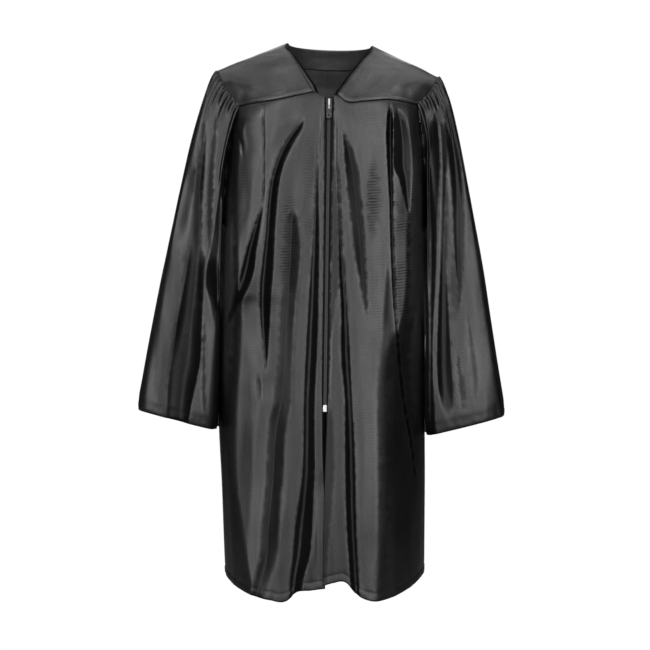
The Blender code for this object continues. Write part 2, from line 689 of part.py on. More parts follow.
def build_facings(panels, satin):
    """The strips turned inside the neck, behind the three yokes. The left one peeks out of the V."""
    for side, name in ((LEFT, "left"), (RIGHT, "right")):
        panel = panels["yoke_front_" + name]
        grid = panel["grid"][:, : FACING_COLUMNS + 1].copy()
        normals = panel["normals"][:, : FACING_COLUMNS + 1]
        if side == LEFT:
            outward = grid[:, 0] - grid[:, 1]
            outward = outward / np.linalg.norm(outward, axis=1, keepdims=True)
            grid[:, 0] += outward * smooth(np.linspace(0, 1, YOKE_ROWS + 1), FACING_PEEK)[:, None]
        grid = pulled_back(grid, ("top", "bottom"), PULL_BACK * FACING_PULL)
        cloth("neck_facing_" + name, grid, normals, satin, wall=TAPE_WALL, sink=WALL + SEAM_GAP)
    first = SHOULDER_COLUMNS - FACING_BACK_REACH
    last = BACK_COLUMNS - SHOULDER_COLUMNS + FACING_BACK_REACH
    grid = panels["yoke_back"]["grid"][: FACING_BACK_ROWS + 1, first : last + 1]
    grid = pulled_back(grid, ("top",))
    normals = panels["yoke_back"]["normals"][: FACING_BACK_ROWS + 1, first : last + 1]
    cloth("neck_facing_back", grid, normals, satin, wall=TAPE_WALL, sink=WALL + SEAM_GAP)


def build_tapes(panels, webbing):
    """Zip tapes behind the two front edges, made from the panels' first columns."""
    rows = ARMHOLE_ROWS + TAPE_SKIRT_ROWS + 1
    for side, name in ((LEFT, "left"), (RIGHT, "right")):
        panel = panels["front_" + name]
        grid = panel["grid"][:rows, : TAPE_COLUMNS[side]].copy()
        normals = panel["normals"][:rows, : TAPE_COLUMNS[side]].copy()
        free = grid[:, 0].copy()
        free[:, 0] = side * TAPE_INNER
        grid = np.concatenate([free[:, None], grid], axis=1)
        normals = np.concatenate([normals[:, :1], normals], axis=1)
        grid[0, 0, 2] = grid[0, 1, 2]
        cloth("zip_tape_" + name, grid, normals, webbing, wall=TAPE_WALL, sink=TAPE_SINK)


def zip_matrix(height):
    """A frame on the front's middle line: +X across, +Y along the zip upwards, +Z out of the cloth."""
    depth = float(smooth(height, BODY_RINGS, 3))
    lower = float(smooth(height - SLOPE_STEP, BODY_RINGS, 3))
    slope = math.atan2(lower - depth, SLOPE_STEP)
    up = Vector((0.0, math.sin(slope), math.cos(slope)))
    out = Vector((0.0, -math.cos(slope), math.sin(slope)))
    turn = Matrix((Vector((1, 0, 0)), up, out)).transposed()
    return Matrix.Translation((0.0, -depth, height)) @ turn.to_4x4()


def build_coil(panels, webbing):
    """The closed coil: a strip between the front edges, with its steps level with the left front's."""
    edge = panels["front_left"]["grid"][:, 0]
    low, high = ZIP_STOP_TOP + SEAM_GAP, COIL_TOP
    heights = [high] + [z for z in edge[:, 2] if low < z < high] + [low]
    ahead = np.interp(heights, edge[::-1, 2], edge[::-1, 1])
    sides = (-COIL_HALF_WIDTH, COIL_HALF_WIDTH)
    grid = np.array([[(x, y, z) for x in sides] for y, z in zip(ahead, heights)])
    normals = np.zeros(grid.shape)
    normals[..., 1] = -1.0
    cloth("zip_coil", grid, normals, webbing, wall=WALL + COIL_PROUD - LIFT, sink=-COIL_PROUD)


def box(bm, size, centre):
    """A box in a bmesh."""
    made = bmesh.ops.create_cube(bm, size=1.0)
    bmesh.ops.scale(bm, vec=size, verts=made["verts"])
    bmesh.ops.translate(bm, vec=centre, verts=made["verts"])


def flat_plate(name, outlines, thick, material, matrix):
    """A flat plate with holes, extruded about its middle plane."""
    curve = bpy.data.curves.new(name + "_outline", "CURVE")
    curve.dimensions = "2D"
    curve.fill_mode = "BOTH"
    curve.extrude = thick / 2
    for outline in outlines:
        spline = curve.splines.new("POLY")
        spline.points.add(len(outline) - 1)
        for point, (x, y) in zip(spline.points, outline):
            point.co = (x, y, 0.0, 1.0)
        spline.use_cyclic_u = True
    guide = bpy.data.objects.new(name + "_outline", curve)
    bpy.data.collections["cutters"].objects.link(guide)
    bpy.context.view_layer.update()
    mesh = bpy.data.meshes.new_from_object(guide.evaluated_get(bpy.context.evaluated_depsgraph_get()))
    bpy.data.objects.remove(guide)
    bm = bmesh.new()
    bm.from_mesh(mesh)
    bmesh.ops.remove_doubles(bm, verts=bm.verts, dist=1e-6)
    face_outwards(bm)
    return new_object(name, bm, material, matrix)


def rounded(width, low, high, radius, steps=3):
    """The outline of an upright rectangle with round corners."""
    points = []
    corners = ((1, high, 0), (-1, high, 90), (-1, low, 180), (1, low, 270))
    for side, end, start in corners:
        centre_x = side * (width / 2 - radius)
        centre_y = end - radius if end == high else end + radius
        for step in range(steps + 1):
            angle = math.radians(start + 90 * step / steps)
            points.append((centre_x + radius * math.cos(angle), centre_y + radius * math.sin(angle)))
    return points


def build_slider(metal):
    """The slider at the top of the zip, with the bridge that its tab hangs on, and the tab."""
    matrix = zip_matrix(SLIDER_TOP - SLIDER_LENGTH / 2)
    base = LIFT - WALL
    face = base + SLIDER_THICK
    bm = bmesh.new()
    box(bm, (SLIDER_WIDTH, SLIDER_LENGTH, SLIDER_THICK), (0, 0, base + SLIDER_THICK / 2))
    bmesh.ops.bevel(
        bm, geom=bm.edges[:], offset=SLIDER_ROUND, segments=2, profile=0.5, affect="EDGES", material=-1
    )
    slider = new_object("zip_slider", bm, metal, matrix)
    end, inside = BRIDGE_LENGTH / 2, BRIDGE_LENGTH / 2 - BRIDGE_BAR
    foot, slot, top = face - BRIDGE_FOOT, face + SLOT_HEIGHT, face + SLOT_HEIGHT + BRIDGE_BAR
    outer = (
        (-end, foot), (-end, top - BRIDGE_CHAMFER), (BRIDGE_CHAMFER - end, top),
        (end - BRIDGE_CHAMFER, top), (end, top - BRIDGE_CHAMFER), (end, foot),
    )
    inner = ((-inside, face), (inside, face), (inside, slot), (-inside, slot))
    side_view = matrix @ Matrix(((0, 0, 1, 0), (1, 0, 0, 0), (0, 1, 0, 0), (0, 0, 0, 1)))
    bridge = flat_plate("zip_bridge", (outer, inner), BRIDGE_WIDTH, metal, side_view)
    join = slider.modifiers.new("bridge", "BOOLEAN")
    join.operation = "UNION"
    join.object = bridge
    bridge.hide_render = True
    bridge.display_type = "WIRE"
    bpy.data.collections["graduation_gown"].objects.unlink(bridge)
    bpy.data.collections["cutters"].objects.link(bridge)

    hinge = matrix @ Matrix.Translation((0, SEAM_GAP + TAB_BAR / 2 - inside, face + SLOT_HEIGHT / 2))
    tab_foot = TAB_BAR / 2 - TAB_LENGTH
    outline = rounded(TAB_WIDTH, tab_foot, TAB_BAR / 2, TAB_ROUND)
    eye = rounded(EYE_WIDTH, -TAB_BAR / 2 - EYE_LENGTH, -TAB_BAR / 2, EYE_ROUND, 1)
    hole = [
        (TAB_HOLE_RADIUS * math.cos(turn), tab_foot + TAB_HOLE_UP + TAB_HOLE_RADIUS * math.sin(turn))
        for turn in np.linspace(0, 2 * math.pi, 12, endpoint=False)
    ]
    flat_plate("zip_pull_tab", (outline, eye, hole), TAB_THICK, metal, hinge)


def build_stop(steel):
    """The silver clamp across both rows of the coil's lower end."""
    matrix = zip_matrix(ZIP_STOP_TOP - STOP_LENGTH / 2)
    bm = bmesh.new()
    box(bm, (STOP_WIDTH, STOP_LENGTH - 2 * SEAM_GAP, STOP_THICK), (0, 0, LIFT - WALL + STOP_THICK / 2))
    bmesh.ops.bevel(
        bm, geom=bm.edges[:], offset=STOP_ROUND, segments=2, profile=0.5, affect="EDGES", material=-1
    )
    new_object("zip_bottom_stop", bm, steel, matrix)


def main():
    for obj in list(bpy.data.objects):
        bpy.data.objects.remove(obj, do_unlink=True)
    for name in ("graduation_gown", "cutters"):
        collection = bpy.data.collections.new(name)
        bpy.context.scene.collection.children.link(collection)
    satin = principled("black_satin", (0.020, 0.020, 0.021), 0.42)
    webbing = principled("zip_webbing", (0.012, 0.012, 0.012), 0.80)
    metal = principled("zip_black_metal", (0.060, 0.060, 0.062), 0.40, 1.0)
    steel = principled("zip_silver_metal", (0.60, 0.60, 0.61), 0.28, 1.0)
    panels = body_panels()
    shared_normals(panels)
    build_cloth(panels, satin)
    build_facings(panels, satin)
    build_tapes(panels, webbing)
    build_coil(panels, webbing)
    build_slider(metal)
    build_stop(steel)


main()
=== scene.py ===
"""The looks of a child's graduation gown: draped satin, gathers, stitches and zip round its CAD form."""

import math

import bmesh
import bpy
import numpy as np
from mathutils import Matrix, Vector, noise


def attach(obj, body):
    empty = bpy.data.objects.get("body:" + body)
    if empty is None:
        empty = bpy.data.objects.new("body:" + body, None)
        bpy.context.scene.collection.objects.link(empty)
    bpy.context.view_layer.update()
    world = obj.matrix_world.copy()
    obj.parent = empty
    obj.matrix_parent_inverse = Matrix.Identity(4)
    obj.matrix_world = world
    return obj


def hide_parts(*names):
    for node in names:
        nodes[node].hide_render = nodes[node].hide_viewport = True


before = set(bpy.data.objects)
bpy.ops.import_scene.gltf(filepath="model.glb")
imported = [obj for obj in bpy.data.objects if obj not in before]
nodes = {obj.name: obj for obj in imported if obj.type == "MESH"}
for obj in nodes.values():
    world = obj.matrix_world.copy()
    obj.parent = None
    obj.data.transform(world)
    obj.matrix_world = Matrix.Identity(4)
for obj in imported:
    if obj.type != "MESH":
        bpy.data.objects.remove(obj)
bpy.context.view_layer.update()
scene = bpy.context.scene

MM = 0.001
LEFT, RIGHT = -1, 1
SIDE_NAMES = ((LEFT, "left"), (RIGHT, "right"))

# Walls of the cloth, and of the cloth in the CAD
WALL = 0.0007
FACING_WALL = 0.0008
BACK_FACING_WALL = 0.0005
BACK_FACING_GAP = 0.0002
TAPE_WALL = 0.0008
CAD_WALL = 0.0012
# Seams: the gap between two pieces, and how far each edge is pulled back into its panel
SEAM_GAP = 0.0003
PULL_BACK = 0.00015
SEAM_EDGES = {
    "front_left": ("top", "last"), "front_right": ("top", "last"), "back": ("top", "first", "last"),
    "yoke_front_left": ("top", "last"), "yoke_front_right": ("top", "last"),
    "yoke_back": ("top", "first", "last"), "sleeve_left": ("top",), "sleeve_right": ("top",),
}
# How far the yokes lie over the panels below them, and how far those dip under the seam
YOKE_LAP = 0.0013
TUCK_SINK = 0.0009
TUCK_REACH = 0.004
# How far the back's side edges slip under the fronts, sideways and inwards
SIDE_LAP = 0.0015
SIDE_SINK = 0.0010
# The way of each panel's normals: which sign turns them out of the gown
OUTWARD = {
    "front_left": -1, "front_right": 1, "back": -1, "yoke_front_left": -1, "yoke_front_right": 1,
    "yoke_back": -1, "sleeve_left": 1, "sleeve_right": -1,
}

# Heights that the pattern turns on
UNDERARM = -0.225
ZIP_STOP_TOP = -0.4375

# Counts of mesh steps; the armhole has twice as many on the fronts
FRONT_COLUMNS = 126
BACK_HALF_COLUMNS = 100
ARMHOLE_ROWS = 48
FRONT_SKIRT_ROWS = 200
BACK_SKIRT_ROWS = 110
YOKE_ROWS = 64
SLEEVE_ROWS = 150
SHOULDER_COLUMNS = 58
# Columns of the fronts up to the corner where yoke, V and front meet
V_COLUMNS = {LEFT: 14, RIGHT: 7}
FACING_COLUMNS = 28
FACING_BACK_ROWS = 16
FACING_BACK_REACH = 17
TAPE_COLUMNS = {LEFT: 9, RIGHT: 12}
TAPE_SKIRT_ROWS = 111
# Rows lie closer where the armhole meets the side seam, and at a sleeve's head
ARMHOLE_EASE = 1.4
SLEEVE_EASE = 1.25

# Rings of the body: height, left and right half-width, front and back depth
BODY_RINGS = (
    (-0.040, 0.121, 0.118, 0.066, 0.062),
    (-0.085, 0.125, 0.121, 0.079, 0.073),
    (-0.130, 0.126, 0.122, 0.087, 0.080),
    (-0.225, 0.1275, 0.122, 0.091, 0.086),
    (-0.330, 0.1305, 0.1215, 0.095, 0.091),
    (-0.430, 0.1305, 0.122, 0.098, 0.096),
    (-0.540, 0.125, 0.1235, 0.101, 0.101),
    (-0.670, 0.117, 0.1245, 0.104, 0.106),
)
RING_POWER = 2.3

# Where the armhole seam runs on each panel: height, degrees round the ring from the middle of its face
ARMHOLE_EDGE = {
    ("front", LEFT): (
        (-0.084, 56.7), (-0.115, 66), (-0.145, 72), (-0.172, 75.5), (-0.195, 78.5), (-0.214, 82.5),
        (-0.225, 90),
    ),
    ("front", RIGHT): (
        (-0.079, 58.7), (-0.102, 62), (-0.130, 65.6), (-0.165, 71.5), (-0.195, 77.5), (-0.214, 82.5),
        (-0.225, 90),
    ),
    ("back", LEFT): (
        (-0.098, 61.5), (-0.120, 66), (-0.150, 71.5), (-0.185, 77), (-0.214, 82.5), (-0.225, 90),
    ),
    ("back", RIGHT): (
        (-0.096, 63.4), (-0.120, 66.5), (-0.150, 71), (-0.185, 77), (-0.214, 82.5), (-0.225, 90),
    ),
}

# Where the search for a front's top edge and hem begins, and the rounds that it takes
TOP_GUESS = -0.078
HEM_GUESS = -0.650
SETTLE_ROUNDS = 30
# Top edge of each front, from the zip along the V to the yoke corner: distance from the middle, height
FRONT_TOP = {
    LEFT: (
        (0.004, -0.0775), (0.011, -0.0740), (0.018, -0.0706), (0.032, -0.0725), (0.058, -0.0780),
        (0.107, -0.0840),
    ),
    RIGHT: (
        (0.004, -0.0765), (0.009, -0.0735), (0.020, -0.0805), (0.042, -0.0795), (0.070, -0.0765),
        (0.1055, -0.0790),
    ),
}
# The corner where yoke, V and front meet: its distance from the middle
V_CORNER = {LEFT: 0.018, RIGHT: 0.009}
# Half of the gap between the two front edges: height, left, right
FRONT_OPENING = (
    (-0.070, 0.0052, 0.0054),
    (-0.100, 0.0048, 0.0050),
    (-0.150, 0.0042, 0.0040),
    (-0.300, 0.0034, 0.0034),
    (-0.440, 0.0030, 0.0030),
    (-0.480, 0.0020, 0.0020),
    (-0.540, 0.0008, 0.0008),
    (-0.670, 0.0004, 0.0004),
)

# Hem heights: distance from the middle, height
HEM = {
    ("front", LEFT): (
        (0.0, -0.651), (0.013, -0.6530), (0.030, -0.6560), (0.040, -0.6655), (0.062, -0.6660),
        (0.090, -0.6590), (0.110, -0.6520), (0.120, -0.6460),
    ),
    ("front", RIGHT): (
        (0.0, -0.6478), (0.012, -0.6440), (0.027, -0.6430), (0.040, -0.6570), (0.058, -0.6646),
        (0.078, -0.6625), (0.100, -0.6550), (0.124, -0.6420),
    ),
    ("back", LEFT): ((0.0, -0.6500), (0.030, -0.6530), (0.070, -0.6500), (0.120, -0.6460)),
    ("back", RIGHT): ((0.0, -0.6500), (0.030, -0.6470), (0.070, -0.6510), (0.124, -0.6420)),
}
BACK_HEM_REACH = 0.12
# The turned hem: its depth, how far its puckers stand off and how long they are, its ridge and its groove
HEM_DEEP = 0.0085
HEM_PUCKER = 0.00042
HEM_PUCKER_LONG = 0.0075
HEM_PUCKER_AT = (0.006, 0.011)
HEM_RIDGE = (0.00030, 0.002)
HEM_GROOVE = (0.00035, 0.0022)
HEM_SEED = 50
# Slow unevenness of hanging cloth: size in x, y and z, height, seed
RIPPLES = (
    ((0.020, 0.020, 0.120), 0.00050, 10),
    ((0.008, 0.008, 0.055), 0.00007, 30),
)
RIPPLE_FADE = 0.03
# Drag lines of the yokes, in the same way
YOKE_CREASES = (
    ((0.030, 0.030, 0.018), 0.00055, 71),
    ((0.011, 0.011, 0.007), 0.00016, 72),
)
YOKE_CREASE_FADE = 0.012
# The yokes' rolled lower edge and the groove above it: height, distance from the edge, half-width
YOKE_LIP = (0.0009, 0.0016, 0.0030)
YOKE_GROOVE = (0.00030, 0.0056, 0.0020)

# Necks and shoulders
NECK_POINT = {LEFT: (-0.052, 0.0, 0.0), RIGHT: (0.052, 0.0, -0.002)}
SHOULDER_POINT = {LEFT: (-0.137, 0.0, -0.035), RIGHT: (0.132, 0.0, -0.039)}
# Front neck edge between the neck point and the V corner: x, y, z
NECK_EDGE = {
    LEFT: (
        (-0.0545, -0.013, -0.007), (-0.0470, -0.030, -0.0185), (-0.0375, -0.047, -0.034),
        (-0.0275, -0.063, -0.053),
    ),
    RIGHT: (
        (0.0515, -0.013, -0.010), (0.0420, -0.030, -0.023), (0.0310, -0.048, -0.040),
        (0.0195, -0.064, -0.057),
    ),
}
# Armhole edge of each yoke between the shoulder point and the yoke corner: x, y, z
YOKE_ARMHOLE = {
    ("front", LEFT): ((-0.1355, -0.014, -0.0385), (-0.1310, -0.027, -0.0490), (-0.1235, -0.039, -0.0640)),
    ("front", RIGHT): ((0.1310, -0.014, -0.0420), (0.1270, -0.027, -0.0510), (0.1195, -0.039, -0.0640)),
    ("back", LEFT): ((-0.1365, 0.014, -0.0385), (-0.1335, 0.029, -0.0510), (-0.1260, 0.042, -0.0720)),
    ("back", RIGHT): ((0.1315, 0.014, -0.0425), (0.1285, 0.029, -0.0540), (0.1215, 0.042, -0.0730)),
}
BACK_NECK_DEPTH = 0.050
BACK_NECK_ROUND = 0.8
BACK_NECK_DIP = -0.0015
BACK_YOKE_SEAM = -0.0965
YOKE_CROWN = 0.005
BACK_YOKE_CROWN = 0.007
BACK_YOKE_BOW_REACH = 0.55

# Sleeves. The hem is an oval on a slope: centre, half-widths across and along, height at the middle
SLEEVE_HEM = {
    LEFT: {"x": -0.1775, "y": 0.008, "across": 0.0520, "along": 0.084, "height": -0.4600, "slope": 0.24},
    RIGHT: {"x": 0.1690, "y": 0.008, "across": 0.0515, "along": 0.084, "height": -0.4630, "slope": 0.26},
}
SLEEVE_HEM_POWER = 2.7
# How close the sleeve's inner side comes to the body, the share of the sleeve over which it gets there, and
# how far above the underarm it begins
BODY_CLEARANCE = 0.0032
CLEARANCE_IN = 0.12
CLEARANCE_ABOVE = 0.012
# The front of a sleeve keeps this much of its own turn, and nothing steeper than the last number; it leaves
# its inner and outer edge over these shares of its width, and its head over these shares of its length
SLEEVE_TURN = 0.45
SLEEVE_LEVEL_MOST = 0.34
SLEEVE_STEEPEST = 2.5
SLEEVE_RIM = (0.05, 0.10)
SLEEVE_DRAPE_IN = (0.04, 0.20)
SLEEVE_STAND_OFF = 0.014
SLEEVE_CENTRING = 0.8
SLEEVE_EVEN_ROWS = 7
# How far the cuff turns in, over which share of the sleeve, and how roundly
HEM_TURN_IN = 0.0028
HEM_TURN_OVER = 0.05
HEM_TURN_POWER = 1.7
# The turns round the arm between which the drape of the front gives way to the folds of the back
FRONT_TURN_END = 0.52
FRONT_TURN_FADE = 0.03
# How each rib leaves the armhole and reaches the hem: turn round the arm (0 outside, 0.25 front,
# 0.5 underarm), outward, forward and upward run at the armhole, then the same at the hem
SLEEVE_RIBS = (
    (0.000, 0.024, 0.000, -0.008, -0.024, 0.000, 0.127),
    (0.125, 0.026, 0.016, -0.012, -0.020, -0.006, 0.125),
    (0.250, 0.024, 0.024, -0.016, -0.014, -0.012, 0.125),
    (0.375, 0.008, 0.022, -0.016, -0.016, -0.004, 0.120),
    (0.500, 0.030, 0.000, 0.010, 0.000, 0.000, 0.130),
    (0.625, 0.014, -0.020, -0.012, -0.014, 0.006, 0.120),
    (0.750, 0.024, -0.024, -0.016, -0.014, 0.012, 0.125),
    (0.875, 0.026, -0.016, -0.012, -0.020, 0.006, 0.125),
)
# How far each facing stands past the V edge: place along the edge, distance
# The peeking strips carry painted shade: on the right the whole strip is a sheet of painted shade along the V
# edge, on the left the facing shows and only its edge is painted dark
FACING_PEEK = {
    LEFT: ((0.0, 0.0012), (0.12, 0.0036), (0.40, 0.0044), (0.70, 0.0064), (0.90, 0.0074), (1.0, 0.0060)),
    RIGHT: ((0.0, 0.0012), (0.12, 0.0040), (0.40, 0.0046), (0.80, 0.0046), (1.0, 0.0038)),
}

# Width of the painted shade along each facing's peeking edge, and the step to the paler cloth beyond it
FACING_EDGE_WIDE = 0.0036
FACING_EDGE_STEP = 0.0004
# The peeking edge stands out sideways more than forwards
FACING_PEEK_WAY = (1, 0.25, 1)
# Turned to the inside, the strips lie in shade, their folded edges most: both are painted shade, a low
# painted light on their colour
FACING_PAINTED_LIGHT = {LEFT: 0.75, RIGHT: 0.02}
FACING_EDGE_PAINTED_LIGHT = 0.01
# The cut edges hidden under the yokes get painted shade too; the yokes' V edges get painted shade, their lips
# a painted highlight
SEAM_PAINTED_SHADE = 0.1
V_EDGE_PAINTED_SHADE = 0.80
V_EDGE_PAINTED_SHADE_WIDE = (0.0030, 0.0016)
LIP_PAINTED_HIGHLIGHT = 0.70
LIP_PAINTED_HIGHLIGHT_AT = (0.0022, 0.0026)

# Zip
TAPE_INNER = 0.0018
TAPE_SINK = WALL + 0.0005
COIL_HALF_WIDTH = 0.0017
COIL_TOP = -0.0925
COIL_TURN_SIZE = (0.00175, 0.00062, 0.00075)
COIL_TURN_ROUND = 0.00021
COIL_PITCH = 0.0010
COIL_FIRST_TURN = 0.0004
COIL_TURN_PLACE = (0.00072, 0, -0.00005)
COIL_LEAN = 8
COIL_CORD_STEPS = 90
COIL_CORD_DEEP = 0.00055
COIL_CORD_CROWN = 0.0001
# The slope of the front at a height is read over this step
SLOPE_STEP = 0.02

# Stitches: length and radius, pitch, how far their middle stands off the cloth
STITCH_LENGTH = 0.0023
STITCH_RADIUS = 0.00017
STITCH_PITCH = 0.0030
STITCH_PROUD = 0.00004
ZIP_STITCH_PROUD = 0.00006
# The rows of the grids that they follow, counted from the lower edge. Beside the zip, their distance from its
# middle and how many rows they go on below the underarm
HEM_STITCH_ROW = 4
YOKE_STITCH_ROW = 3
ZIP_STITCH_OUT = 0.0086
ZIP_STITCH_SKIRT_ROWS = 104

# The wrong side of the satin is paler and duller
WRONG_SIDE_PALER = 1.3
WRONG_SIDE_DULLER = 0.25
RIBS_EVERYWHERE = 0.08
MEAN_DULL = 0.09
BUMP_DEPTH = 0.00008
METAL_BUMP_DEPTH = 0.00004

# Stage, lights and camera
FLOOR_HEIGHT = -0.95
FLOOR_REACH = 30.0
FLOOR_GLOW = 0.012
ROOM_LIGHT = 0.022
ROOM_SEEN = 1.02
MIDDLE = (0.0, 0.0, -0.33)
# Softboxes: place, the point that they face, width, height, radiance
SOFTBOXES = {
    "front_left_softbox": ((-0.75, -2.6, 0.10), (-0.75, 0.0, -0.33), 1.5, 4.4, 1.30),
    "front_right_softbox": ((0.75, -2.6, 0.10), (0.75, 0.0, -0.33), 1.5, 4.4, 1.80),
    "left_softbox": ((-1.53, -2.10, 0.10), MIDDLE, 0.55, 4.0, 4.0),
    "right_softbox": ((1.53, -2.10, 0.10), MIDDLE, 0.55, 4.0, 3.6),
    "top_softbox": ((0.0, 0.10, 2.0), (0.0, 0.10, -0.05), 3.8, 3.2, 1.3),
    "back_softbox": ((0.0, 2.6, 0.10), MIDDLE, 1.5, 4.0, 1.3),
}
CAMERA_PLACE = (-0.0012, -1.9, -0.345)
CAMERA_LENS = 85.9
CAMERA_SENSOR = 36.0
CAMERA_ROLL = 0.8

# Drape of the fronts, in millimetres. Each band is a stretch of cloth that slopes steeply: height, where it
# begins and where it ends, from the zip outwards. fall is the share of it that falls away outwards, and the
# rest rises again. soft is how gradually it begins and ends, reach over how much cloth on either side it
# evens out, dark how strongly painted shade darkens the colour of its hollow.
FRONT_BANDS = {
    LEFT: (
        # Zip side trough
        {"slope": 0.82, "fall": 0.62, "soft": (2.2, 3.0), "reach": 14, "dark": 0.62, "path": (
            (-141, 12, 12.5), (-175, 12, 15), (-230, 10.5, 17), (-295, 9, 20), (-365, 9.5, 23),
            (-430, 12, 25), (-525, 11, 26.5), (-585, 12.5, 34), (-613, 15, 36), (-640, 22, 38.5),
            (-680, 27, 40))},
        # Middle trough
        {"slope": 0.34, "fall": 0.66, "soft": (5.0, 3.4), "reach": 18, "dark": 0.66, "path": (
            (-207, 38, 41.5), (-220, 35, 48), (-240, 31, 50.5), (-280, 31, 51.5), (-330, 36, 54.5),
            (-410, 38.5, 57), (-435, 39, 59), (-456, 42, 63.5), (-485, 46, 66), (-515, 47, 66.5),
            (-550, 50, 68.5), (-585, 51, 72), (-615, 53, 73), (-645, 62, 80), (-680, 72, 86))},
        # Breast trough
        {"slope": 0.86, "fall": 0.70, "soft": (3.4, 2.2), "reach": 22, "dark": 0.74, "path": (
            (-103, 27, 30), (-111, 29.5, 36.5), (-121, 35.5, 45), (-132, 42, 53), (-144, 47.5, 58.5),
            (-158, 53, 63.5), (-175, 57, 68), (-200, 59.5, 71), (-240, 61.5, 73.5), (-270, 62.5, 76.5),
            (-310, 64.5, 79), (-335, 65.5, 78), (-360, 66.5, 75), (-402, 69, 69.5))},
        # Armpit trough
        {"slope": 0.98, "fall": 0.62, "soft": (2.4, 2.8), "reach": 14, "dark": 0.74, "path": (
            (-204, 76, 77.5), (-228, 79, 86), (-256, 83, 95), (-288, 87, 103), (-303, 92, 107),
            (-318, 100, 111), (-348, 116, 119))},
        # Chest crease
        {"slope": 0.80, "fall": 0.60, "soft": (2.6, 2.6), "reach": 7, "dark": 0.4, "path": (
            (-105, 108, 110.5), (-115, 105, 110), (-127, 101.5, 107.5), (-138, 100, 104), (-149, 99, 100))},
        # Pleat
        {"slope": 1.90, "fall": 0.55, "soft": (0.9, 0.9), "reach": 5, "dark": 0.55, "path": (
            (-87, 77.7, 79.5), (-119, 76, 77.8), (-154, 74.8, 76.5), (-189, 75, 76.8), (-205, 76.3, 77.7))},
        # Low flank crease
        {"slope": 0.62, "fall": 0.60, "soft": (3.0, 3.0), "reach": 8, "dark": 0.35, "path": (
            (-401, 78, 79), (-415, 75.5, 80), (-427, 75.5, 79), (-438, 75, 76))},
    ),
    RIGHT: (
        # Zip side trough
        {"slope": 0.84, "fall": 0.62, "soft": (2.0, 2.6), "reach": 12, "dark": 0.78, "path": (
            (-147, 10.5, 11.5), (-193, 12, 15.5), (-250, 13.5, 19), (-290, 14.5, 22.5), (-316, 16.5, 24.5),
            (-385, 18, 29), (-430, 22.5, 31.5), (-479, 23.5, 35), (-525, 24.5, 37), (-572, 26.5, 38.5),
            (-640, 32, 42.5), (-680, 35, 45.5))},
        # Almond trough
        {"slope": 0.34, "fall": 0.62, "soft": (2.0, 2.4), "reach": 18, "dark": 0.84, "path": (
            (-113, 15.5, 16.5), (-124, 17, 21.5), (-138, 18, 28), (-152, 19, 32.5), (-170, 20.5, 36.5),
            (-187, 22.5, 38.5), (-205, 25, 40.5), (-225, 27.5, 42.5), (-245, 29.5, 44.5), (-265, 33, 45.5),
            (-283, 36, 46.5), (-301, 39.5, 47.2), (-318, 43, 48), (-334, 46.5, 47.5))},
        # Long pleat
        {"slope": 1.50, "fall": 0.55, "soft": (1.2, 1.4), "reach": 7, "dark": 0.86, "path": (
            (-83, 72.8, 74), (-96, 69.5, 75.6), (-117, 68.4, 76.3), (-140, 69.2, 76.4), (-170, 71, 76.4),
            (-200, 73, 77), (-233, 74, 78), (-270, 76, 80), (-305, 78, 81.5), (-340, 81, 84),
            (-375, 84, 86.8), (-408, 87.5, 90.2), (-443, 93, 96), (-478, 100.5, 103.2),
            (-530, 109, 110.5))},
        # Chest hollow
        {"slope": 0.66, "fall": 0.56, "soft": (1.6, 3.4), "reach": 10, "dark": 0.6, "path": (
            (-86, 77.5, 81.5), (-96, 76.5, 88.5), (-107, 76.5, 92.5), (-122, 76.5, 96), (-140, 76.5, 98),
            (-157, 77, 98.5), (-170, 83.5, 98.3), (-184, 87.5, 98), (-198, 91, 97.7), (-214, 95.5, 97.3))},
        # Breast ridge edge
        {"slope": 0.38, "fall": 1.00, "soft": (4.0, 6.0), "reach": 60, "dark": 0.40, "path": (
            (-271, 70.5, 72), (-297, 69.5, 76), (-321, 68, 78), (-344, 66, 80), (-367, 64, 80),
            (-400, 61, 76), (-480, 62, 76), (-560, 63, 77), (-620, 62, 76), (-690, 60, 74))},
    ),
}
# The length over which a band begins and ends, and the width over which it turns from falling to rising
BAND_END = 12
VALLEY = 1.4
# Slow and quick unevenness of the edges of a hollow's painted shade: height and size, all in millimetres
RAGGED = ((1.1, 8.0), (0.8, 3.2))
# How strongly painted shade darkens a band's hollow where it has no number of its own, and the painted
# highlight on the rim round it
HOLLOW_PAINTED_SHADE = 0.68
PAINTED_RIM_WIDE = 2.6
RIM_PAINTED_HIGHLIGHT = 0.30
# Patches of painted light and shade: distance, height, half-width, half-height, change of the painted light,
# how much its ribs show
FRONT_PAINTED_LIGHT_PATCHES = {
    LEFT: (
        (45, -250, 10, 55, 0.0, 1.0), (100, -150, 14, 60, 0.05, 0.35), (92, -92, 16, 9, 0.8, 0.1),
        (90, -328, 12, 36, -0.28, 0.2), (119, -310, 9, 120, 2.0, 0.1), (92, -440, 16, 120, 0.06, 0.15),
        (30, -600, 10, 40, 0.12, 0.2), (112, -380, 8, 90, -0.12, 0.3), (66, -330, 6, 40, -0.05, 0.5),
        (20, -190, 8, 60, 0.0, 0.5), (56, -120, 18, 26, -0.08, 0.1), (131, -510, 17, 110, -0.62, 0.1),
        (124, -600, 20, 80, -0.55, 0.1),
    ),
    RIGHT: (
        (53, -198, 7, 42, -0.22, 1.0), (88, -260, 9, 85, -0.24, 1.0), (105, -240, 8, 110, 1.0, 0.3),
        (109, -390, 9, 60, 1.2, 0.2), (47, -520, 17, 170, 0.32, 0.1), (92, -480, 22, 150, -0.42, 0.25),
        (60, -110, 16, 22, 0.10, 0.2), (60, -290, 10, 60, 0.10, 0.3), (15, -200, 5, 80, 0.05, 0.7),
        (34, -400, 5, 60, 0.10, 0.1),
    ),
}
